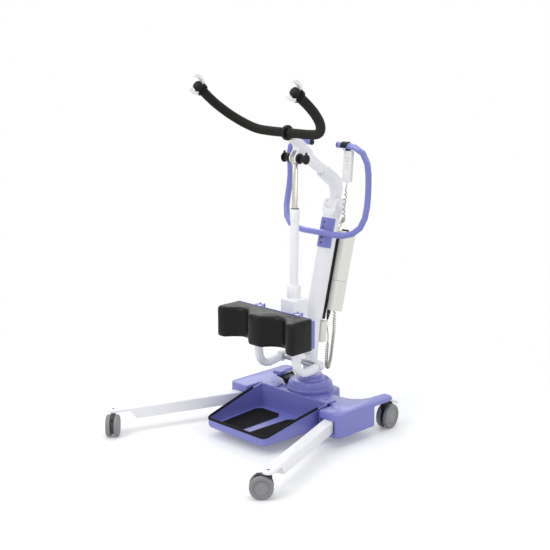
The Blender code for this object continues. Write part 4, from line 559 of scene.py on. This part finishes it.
def blow_up(piece, pinned, cap):
    """Blows up the piece's cover, with no point moved further than cap."""
    mesh = piece.data
    start = [v.co.copy() for v in mesh.vertices]
    group = piece.vertex_groups.new(name="seat")
    group.add([i for i, p in enumerate(start) if pinned(p)], 1.0, "REPLACE")
    cloth = piece.modifiers.new("cover", "CLOTH")
    cloth.settings.quality = 5
    cloth.settings.mass = COVER_MASS
    cloth.settings.tension_stiffness = COVER_STIFF
    cloth.settings.compression_stiffness = COVER_STIFF
    cloth.settings.bending_stiffness = COVER_BEND
    cloth.settings.use_pressure = True
    cloth.settings.uniform_pressure_force = COVER_PRESSURE
    cloth.settings.vertex_group_mass = "seat"
    cloth.settings.effector_weights.gravity = 0.0
    cloth.point_cache.frame_start = 1
    cloth.point_cache.frame_end = COVER_FRAMES
    for step in range(1, COVER_FRAMES + 1):
        bpy.context.scene.frame_set(step)
    shape = piece.evaluated_get(bpy.context.evaluated_depsgraph_get())
    ended = [v.co.copy() for v in shape.data.vertices]
    piece.modifiers.remove(cloth)
    for vertex, a, b in zip(mesh.vertices, start, ended):
        moved = b - a
        if moved.length > cap:
            moved *= cap / moved.length
        vertex.co = a + moved
    bpy.context.scene.frame_set(1)


cushion_low, cushion_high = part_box("knee_cushion")
CUSHION_HALF = 0.1925
CUSHION_END = 0.009
CUSHION_NOSE = 0.012
CUSHION_FRONT, CUSHION_BACK, CUSHION_EDGE = 0.002, 0.0004, 0.0012  # room left for the swelling
SWELL_CAP = 0.0020
SEATED = 0.016
HOLLOW_AT, HOLLOW_HALF, HOLLOW = 0.094, 0.072, 0.050
HOLLOW_POWER = 0.62
RING_POINTS = 76
SECTIONS = 92
END_RINGS = (0.012, 0.024, 0.036)


def arc_points(y, z, radius, first, last):
    """Five points of a round corner in the YZ plane."""
    angles = [math.radians(first + (last - first) * k / 4.0) for k in range(5)]
    return [Vector((0.0, y + radius * math.cos(a), z + radius * math.sin(a))) for a in angles]


def cushion_ring(x, inward=0.0):
    """The cushion's section at x, drawn in at its rounded ends, as evenly spaced points."""
    edge = max(0.0, abs(x) - (CUSHION_HALF - CUSHION_END)) / CUSHION_END
    draw = CUSHION_END * (1.0 - math.sqrt(max(0.0, 1.0 - edge * edge))) + inward
    off = abs(abs(x) - HOLLOW_AT)
    hollow = 0.0
    if off < HOLLOW_HALF:
        hollow = HOLLOW * (0.5 + 0.5 * math.cos(math.pi * off / HOLLOW_HALF)) ** HOLLOW_POWER
    front = cushion_low.y + CUSHION_FRONT + hollow + draw
    back = cushion_high.y - CUSHION_BACK - inward
    low, high = cushion_low.z + CUSHION_EDGE + draw, cushion_high.z - CUSHION_EDGE - draw
    nose = CUSHION_NOSE * (1.0 if inward == 0.0 else 0.5)
    corners = arc_points(front + nose, low + nose, nose, 270.0, 180.0)
    corners += arc_points(front + nose, high - nose, nose, 180.0, 90.0)
    corners += [Vector((0.0, back, high)), Vector((0.0, back, low))]
    loop = corners + [corners[0]]
    around = sum((q - p).length for p, q in zip(loop, loop[1:]))
    ring = spaced(loop, around / RING_POINTS)[:-1]
    return [Vector((x, p.y, p.z)) for p in ring]


def section_at(k):
    """Where section k lies along the cushion, with the sections closer at the two ends."""
    share = 2.0 * k / SECTIONS - 1.0
    return CUSHION_HALF * (0.12 * math.sin(math.pi * share / 2.0) + 0.88 * share)


bm = bmesh.new()
rings = [cushion_ring(-CUSHION_HALF, inward) for inward in END_RINGS[::-1]]
rings += [cushion_ring(section_at(k)) for k in range(SECTIONS + 1)]
rings += [cushion_ring(CUSHION_HALF, inward) for inward in END_RINGS]
rings = [[bm.verts.new(p) for p in ring] for ring in rings]
for near, far in zip(rings, rings[1:]):
    for k in range(RING_POINTS):
        j = (k + 1) % RING_POINTS
        bm.faces.new((near[k], near[j], far[j], far[k]))
bm.faces.new(rings[0][::-1])
bm.faces.new(rings[-1])
bmesh.ops.triangulate(bm, faces=[f for f in bm.faces if len(f.verts) > 4])
bmesh.ops.recalc_face_normals(bm, faces=bm.faces)
dense = bpy.data.meshes.new("knee_cushion_cover")
bm.to_mesh(dense)
bm.free()
cushion = bpy.data.objects.new("knee_cushion_cover", dense)
COLLECTION.objects.link(cushion)
blow_up(cushion, lambda p: p.y > cushion_high.y - SEATED, SWELL_CAP)
for vertex in dense.vertices:
    vertex.co.z = min(max(vertex.co.z, cushion_low.z - 0.002), cushion_high.z + 0.002)
finer = cushion.modifiers.new("finer", "SUBSURF")
finer.levels = 1
finer.render_levels = 1
dense.shade_smooth()
dense.materials.clear()
dense.materials.append(LOOKS["black_upholstery"])
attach(cushion, "knee_pad")
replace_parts(cushion, "knee_cushion")

# the cover's welted seams, laid on the finished cushion's front near its upper and lower edges
WELT_R, WELT_IN, WELT_PROUD, WELT_STEP = 0.0011, 0.0077, 0.0004, 0.003
WELT_END, WELT_RAYS = 0.010, 120
bm = bmesh.new()
bm.from_mesh(dense)
cover = BVHTree.FromBMesh(bm)
bm.free()
reach = cushion_high.x - WELT_END
for word, height in (("upper", cushion_high.z - WELT_IN), ("lower", cushion_low.z + WELT_IN)):
    trace = []
    for k in range(WELT_RAYS + 1):
        origin = Vector((-reach + 2.0 * reach * k / WELT_RAYS, cushion_low.y - 0.03, height))
        found = cover.ray_cast(origin, Vector((0.0, 1.0, 0.0)))[0]
        if found is not None:
            trace.append(found + Vector((0.0, WELT_PROUD, 0.0)))
    trace = spaced(trace, WELT_STEP)
    welt = tube(trace, [WELT_R] * len(trace), 10, (0.0, 0.0, 1.0))
    made_of(welt, f"cushion_welt_{word}", "black_upholstery", "knee_pad", degrees=80.0)

# tray mats: moulded sheets with raised anti-slip ribs across the foot
MAT_BASE = 0.0016
RIB_PITCH = 0.0075
RIB_FOOT, RIB_TOP = 0.0020, 0.0011
RIB_SUNK, RIB_SLOPE = 0.0003, 0.0012
RIB_END, RIB_LEAST = 0.003, 0.01


def rib_ends(outline, y):
    """Where the line across the mat at y meets its outline, or None."""
    met = [
        intersect_line_line_2d((-1.0, y), (1.0, y), a, b)
        for a, b in zip(outline, outline[1:] + outline[:1])
    ]
    crossings = [point.x for point in met if point is not None]
    return (min(crossings), max(crossings)) if len(crossings) >= 2 else None


def add_rib(bm, x0, x1, y, top):
    """A rib with sloped sides and ends, from x0 to x1."""
    foot = top - MAT_BASE - RIB_SUNK
    ring = []
    for dy, z, inset in (
        (-RIB_FOOT, foot, 0.0),
        (-RIB_TOP, top, RIB_SLOPE),
        (RIB_TOP, top, RIB_SLOPE),
        (RIB_FOOT, foot, 0.0),
    ):
        ring.append((bm.verts.new((x0 + inset, y + dy, z)), bm.verts.new((x1 - inset, y + dy, z))))
    for (a, b), (c, d) in zip(ring, ring[1:] + ring[:1]):
        bm.faces.new((a, b, d, c))
    bm.faces.new([pair[0] for pair in ring])
    bm.faces.new([pair[1] for pair in ring][::-1])


for word in ("left", "right"):
    node = f"tray_mat_{word}"
    low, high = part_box(node)
    middle = (low + high) / 2.0
    bm = welded(node)
    for vertex in bm.verts:
        if vertex.co.z > middle.z:
            vertex.co.z = high.z - MAT_BASE
    rim = [v.co.copy() for v in bm.verts if v.co.z > low.z + 1e-4]
    rim.sort(key=lambda p: math.atan2(p.y - middle.y, p.x - middle.x))
    outline = [(p.x, p.y) for p in rim]
    mat = made_of(bm, f"{node}_sheet", "black_rubber", "tray")
    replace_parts(mat, node)
    bm = bmesh.new()
    y = low.y + RIB_PITCH
    while y < high.y - RIB_PITCH * 0.6:
        ends = rib_ends(outline, y)
        if ends is not None and ends[1] - ends[0] - 2.0 * RIB_END > RIB_LEAST:
            add_rib(bm, ends[0] + RIB_END, ends[1] - RIB_END, y, high.z)
        y += RIB_PITCH
    made_of(bm, f"{node}_ribs", "black_rubber", "tray")

# screws in the face of the handle's bracket
MAST_FOOT = Vector((0.0, 0.1952, 0.165))
MAST_UP = Vector((0.0, 0.24192, 0.9703))
MAST_OUT = Vector((0.0, 0.9703, -0.24192))
BRACKET_FACE = -0.0348
SCREW_R, SCREW_H = 0.0040, 0.0010
for number, up in enumerate((0.5985, 0.5795, 0.5405, 0.5215)):
    at = MAST_FOOT + MAST_UP * up + MAST_OUT * BRACKET_FACE
    screw = turned(screw_profile(SCREW_R, SCREW_H), 24, aimed(at, -MAST_OUT))
    made_of(screw, f"bracket_screw_{number + 1}", "blue_paint", "base", SCREW)

# small studs behind the knee plate's clamps
knee_low, knee_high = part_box("knee_plate")
STUD_X, STUD_APART = 0.0956, 0.011
STUD_Y, STUD_Z = 0.0802, 0.4650
STUD = [(0.0, -0.010), (0.0031, -0.010), (0.0031, 0.0022), (0.0025, 0.0034), (0.0, 0.0040)]
for word, side in (("left", -1.0), ("right", 1.0)):
    for number, shift in enumerate((-STUD_APART, STUD_APART)):
        stud = turned(STUD, 20, Matrix.Translation((side * STUD_X + shift, STUD_Y, STUD_Z)))
        made_of(stud, f"knee_stud_{word}_{number + 1}", "blue_paint", "knee_pad", degrees=50.0)

# return flanges at the knee plate's two ends
KNEE_BACK, KNEE_MID = 0.0450, 0.409
FLANGE_T, FLANGE_DEEP, FLANGE_TALL = 0.0025, 0.0125, 0.102
FLANGE_SUNK, FLANGE_ROUND = 0.0004, 0.004
for word, side in (("left", -1.0), ("right", 1.0)):
    x0 = knee_low.x if side < 0.0 else knee_high.x - FLANGE_T
    bm = bmesh.new()
    bmesh.ops.create_cube(bm, size=1.0)
    size = Vector((FLANGE_T, FLANGE_DEEP, FLANGE_TALL))
    middle = Vector((x0 + FLANGE_T / 2.0, KNEE_BACK + FLANGE_DEEP / 2.0 - FLANGE_SUNK, KNEE_MID))
    for vertex in bm.verts:
        vertex.co = vertex.co * size + middle
    across = [e for e in bm.edges if abs(e.verts[0].co.x - e.verts[1].co.x) > 1e-4]
    bmesh.ops.bevel(bm, geom=across, offset=FLANGE_ROUND, segments=4, profile=0.5, affect="EDGES")
    made_of(bm, f"knee_flange_{word}", "blue_paint", "knee_pad", degrees=50.0)

# plastic covers over the knee bolt's two heads
KNEE_BOLT_AT = (0.1095, 0.1820, 0.2460)
BOLT_COVER = [(0.0, -0.0010), (0.0125, -0.0010), (0.0125, 0.0012), (0.0108, 0.0032), (0.0, 0.0042)]
for word, side in (("left", -1.0), ("right", 1.0)):
    x, y, z = KNEE_BOLT_AT
    lid = turned(BOLT_COVER, 32, aimed(Vector((side * x, y, z)), (side, 0.0, 0.0)))
    made_of(lid, f"knee_bolt_cover_{word}", "white_plastic", "base", degrees=50.0)

# castor wheels: hub caps with a groove, seated in the wheels' recesses
FRONT_R, REAR_R = 0.040, 0.046
HUBS = (
    ("front_left", (-0.38858, -0.39771), (-0.70711, -0.70711, 0.0), FRONT_R),
    ("front_right", (0.38858, -0.39771), (-0.70711, 0.70711, 0.0), FRONT_R),
    ("rear_left", (-0.25809, 0.38319), (0.98769, -0.15643, 0.0), REAR_R),
    ("rear_right", (0.25809, 0.38319), (0.98769, 0.15643, 0.0), REAR_R),
)
WHEEL_FACE = 0.0200  # from the castor's middle to the bottom of a wheel's recess
CAP_SHARE = 0.60
HUB_LOOK = surface("hub_grey", (0.245, 0.245, 0.255), 0.46, layers=MOULDED)


def hub_cap(r):
    """Half the outline of a hub cap with a groove and a sunk middle."""
    return [
        (0.0, -0.0006),
        (r, -0.0006),
        (r, 0.0011),
        (r - 0.0012, 0.0019),
        (r * 0.80, 0.0021),
        (r * 0.77, 0.0013),
        (r * 0.72, 0.0013),
        (r * 0.69, 0.0022),
        (r * 0.30, 0.0029),
        (r * 0.26, 0.0020),
        (0.0, 0.0020),
    ]


for word, (x, y), way, radius in HUBS:
    for end, sign in (("a", -1.0), ("b", 1.0)):
        outward = Vector(way) * sign
        seat = aimed(Vector((x, y, radius)) + outward * WHEEL_FACE, outward)
        cap = turned(hub_cap(radius * CAP_SHARE), 40, seat)
        made_of(cap, f"{word}_hub_{end}", "wheel_grey", f"wheels_{word}", HUB_LOOK, 30.0)

# actuator: wiper ring at the barrel's mouth
ACT_AT = Vector((0.0, 0.1435, 0.325))
ACT_LEAN = math.radians(0.85)
ACT_UP = Vector((0.0, math.sin(ACT_LEAN), math.cos(ACT_LEAN)))
BARREL_MOUTH = 0.4965
WIPER = [(0.0112, -0.001), (0.0148, -0.001), (0.0148, 0.0012), (0.0130, 0.0024), (0.0112, 0.0024)]
ring = turned(WIPER + WIPER[:1], 40, aimed(ACT_AT + ACT_UP * BARREL_MOUTH, ACT_UP))
made_of(ring, "barrel_wiper", "black_plastic", "actuator")

# studio: pale floor, white surround and soft lamps
def any_seen_ray(tree):
    """1 for camera, glossy and transmission rays, which see the white background."""
    rays = tree.nodes.new("ShaderNodeLightPath")
    found = rays.outputs["Is Camera Ray"]
    for name in ("Is Glossy Ray", "Is Transmission Ray"):
        either = tree.nodes.new("ShaderNodeMath")
        either.operation = "MAXIMUM"
        tree.links.new(found, either.inputs[0])
        tree.links.new(rays.outputs[name], either.inputs[1])
        found = either.outputs[0]
    return found


FLOOR = 30
# near the lift a small share of painted light glows in the floor for the rays that see the
# background, lightening the lift's cast shadow; further out the glow rises to pure white
FADE_FROM, FADE_TO, PAINTED_GLOW_NEAR = 0.8, 1.9, 0.18  # from the lift's own shadow out to pure white
LAMPS_AIM = Vector((0.0, 0.0, 0.55))
floor_mesh = bpy.data.meshes.new("floor")
corners = [(-FLOOR, -FLOOR, 0), (FLOOR, -FLOOR, 0), (FLOOR, FLOOR, 0), (-FLOOR, FLOOR, 0)]
floor_mesh.from_pydata(corners, [], [(0, 1, 2, 3)])
floor = bpy.data.objects.new("floor", floor_mesh)
COLLECTION.objects.link(floor)
floor_look = bpy.data.materials.new("floor")
floor_look.use_nodes = True
tree = floor_look.node_tree
floor_shader = tree.nodes["Principled BSDF"]
floor_shader.inputs["Base Color"].default_value = (0.93, 0.93, 0.93, 1.0)
floor_shader.inputs["Roughness"].default_value = 0.75
glow = tree.nodes.new("ShaderNodeEmission")
away = tree.nodes.new("ShaderNodeVectorMath")
away.operation = "LENGTH"
tree.links.new(tree.nodes.new("ShaderNodeTexCoord").outputs["Object"], away.inputs[0])
fade = tree.nodes.new("ShaderNodeMapRange")
fade.interpolation_type = "SMOOTHSTEP"
fade.inputs["From Min"].default_value = FADE_FROM
fade.inputs["From Max"].default_value = FADE_TO
fade.inputs["To Min"].default_value = PAINTED_GLOW_NEAR
fade.inputs["To Max"].default_value = 1.0
tree.links.new(away.outputs["Value"], fade.inputs["Value"])
# share of painted glow laid over the shaded floor
share = tree.nodes.new("ShaderNodeMath")
share.operation = "MULTIPLY"
tree.links.new(any_seen_ray(tree), share.inputs[0])
tree.links.new(fade.outputs["Result"], share.inputs[1])
mix = tree.nodes.new("ShaderNodeMixShader")
tree.links.new(share.outputs[0], mix.inputs[0])
tree.links.new(floor_shader.outputs[0], mix.inputs[1])
tree.links.new(glow.outputs[0], mix.inputs[2])
tree.links.new(mix.outputs[0], tree.nodes["Material Output"].inputs["Surface"])
floor_mesh.materials.append(floor_look)

world = bpy.data.worlds.new("studio")
bpy.context.scene.world = world
world.use_nodes = True
tree = world.node_tree
tree.nodes.clear()
soft = tree.nodes.new("ShaderNodeBackground")
soft.inputs["Color"].default_value = (0.95, 0.97, 1.0, 1.0)
soft.inputs["Strength"].default_value = 0.55
white = tree.nodes.new("ShaderNodeBackground")
white.inputs["Color"].default_value = (1.0, 1.0, 1.0, 1.0)
white.inputs["Strength"].default_value = 1.0
blend = tree.nodes.new("ShaderNodeMixShader")
tree.links.new(any_seen_ray(tree), blend.inputs[0])
tree.links.new(soft.outputs[0], blend.inputs[1])
tree.links.new(white.outputs[0], blend.inputs[2])
out = tree.nodes.new("ShaderNodeOutputWorld")
tree.links.new(blend.outputs[0], out.inputs["Surface"])

# name, place, size and power
LAMPS = (
    ("key", (-0.6, -3.4, 3.6), 2.6, 95.0),
    ("fill", (3.6, 0.4, 2.2), 2.4, 28.0),
    ("top", (0.0, 0.2, 4.2), 3.2, 60.0),
    ("rim", (-2.8, 2.2, 2.8), 2.2, 26.0),
)
for name, at, size, power in LAMPS:
    lamp = bpy.data.lights.new(name, "AREA")
    lamp.size = size
    lamp.energy = power
    lamp_object = bpy.data.objects.new(name, lamp)
    lamp_object.location = at
    lamp_object.rotation_euler = (LAMPS_AIM - Vector(at)).to_track_quat("-Z", "Y").to_euler()
    COLLECTION.objects.link(lamp_object)

bpy.context.scene.view_settings.view_transform = "Standard"
bpy.context.view_layer.update()
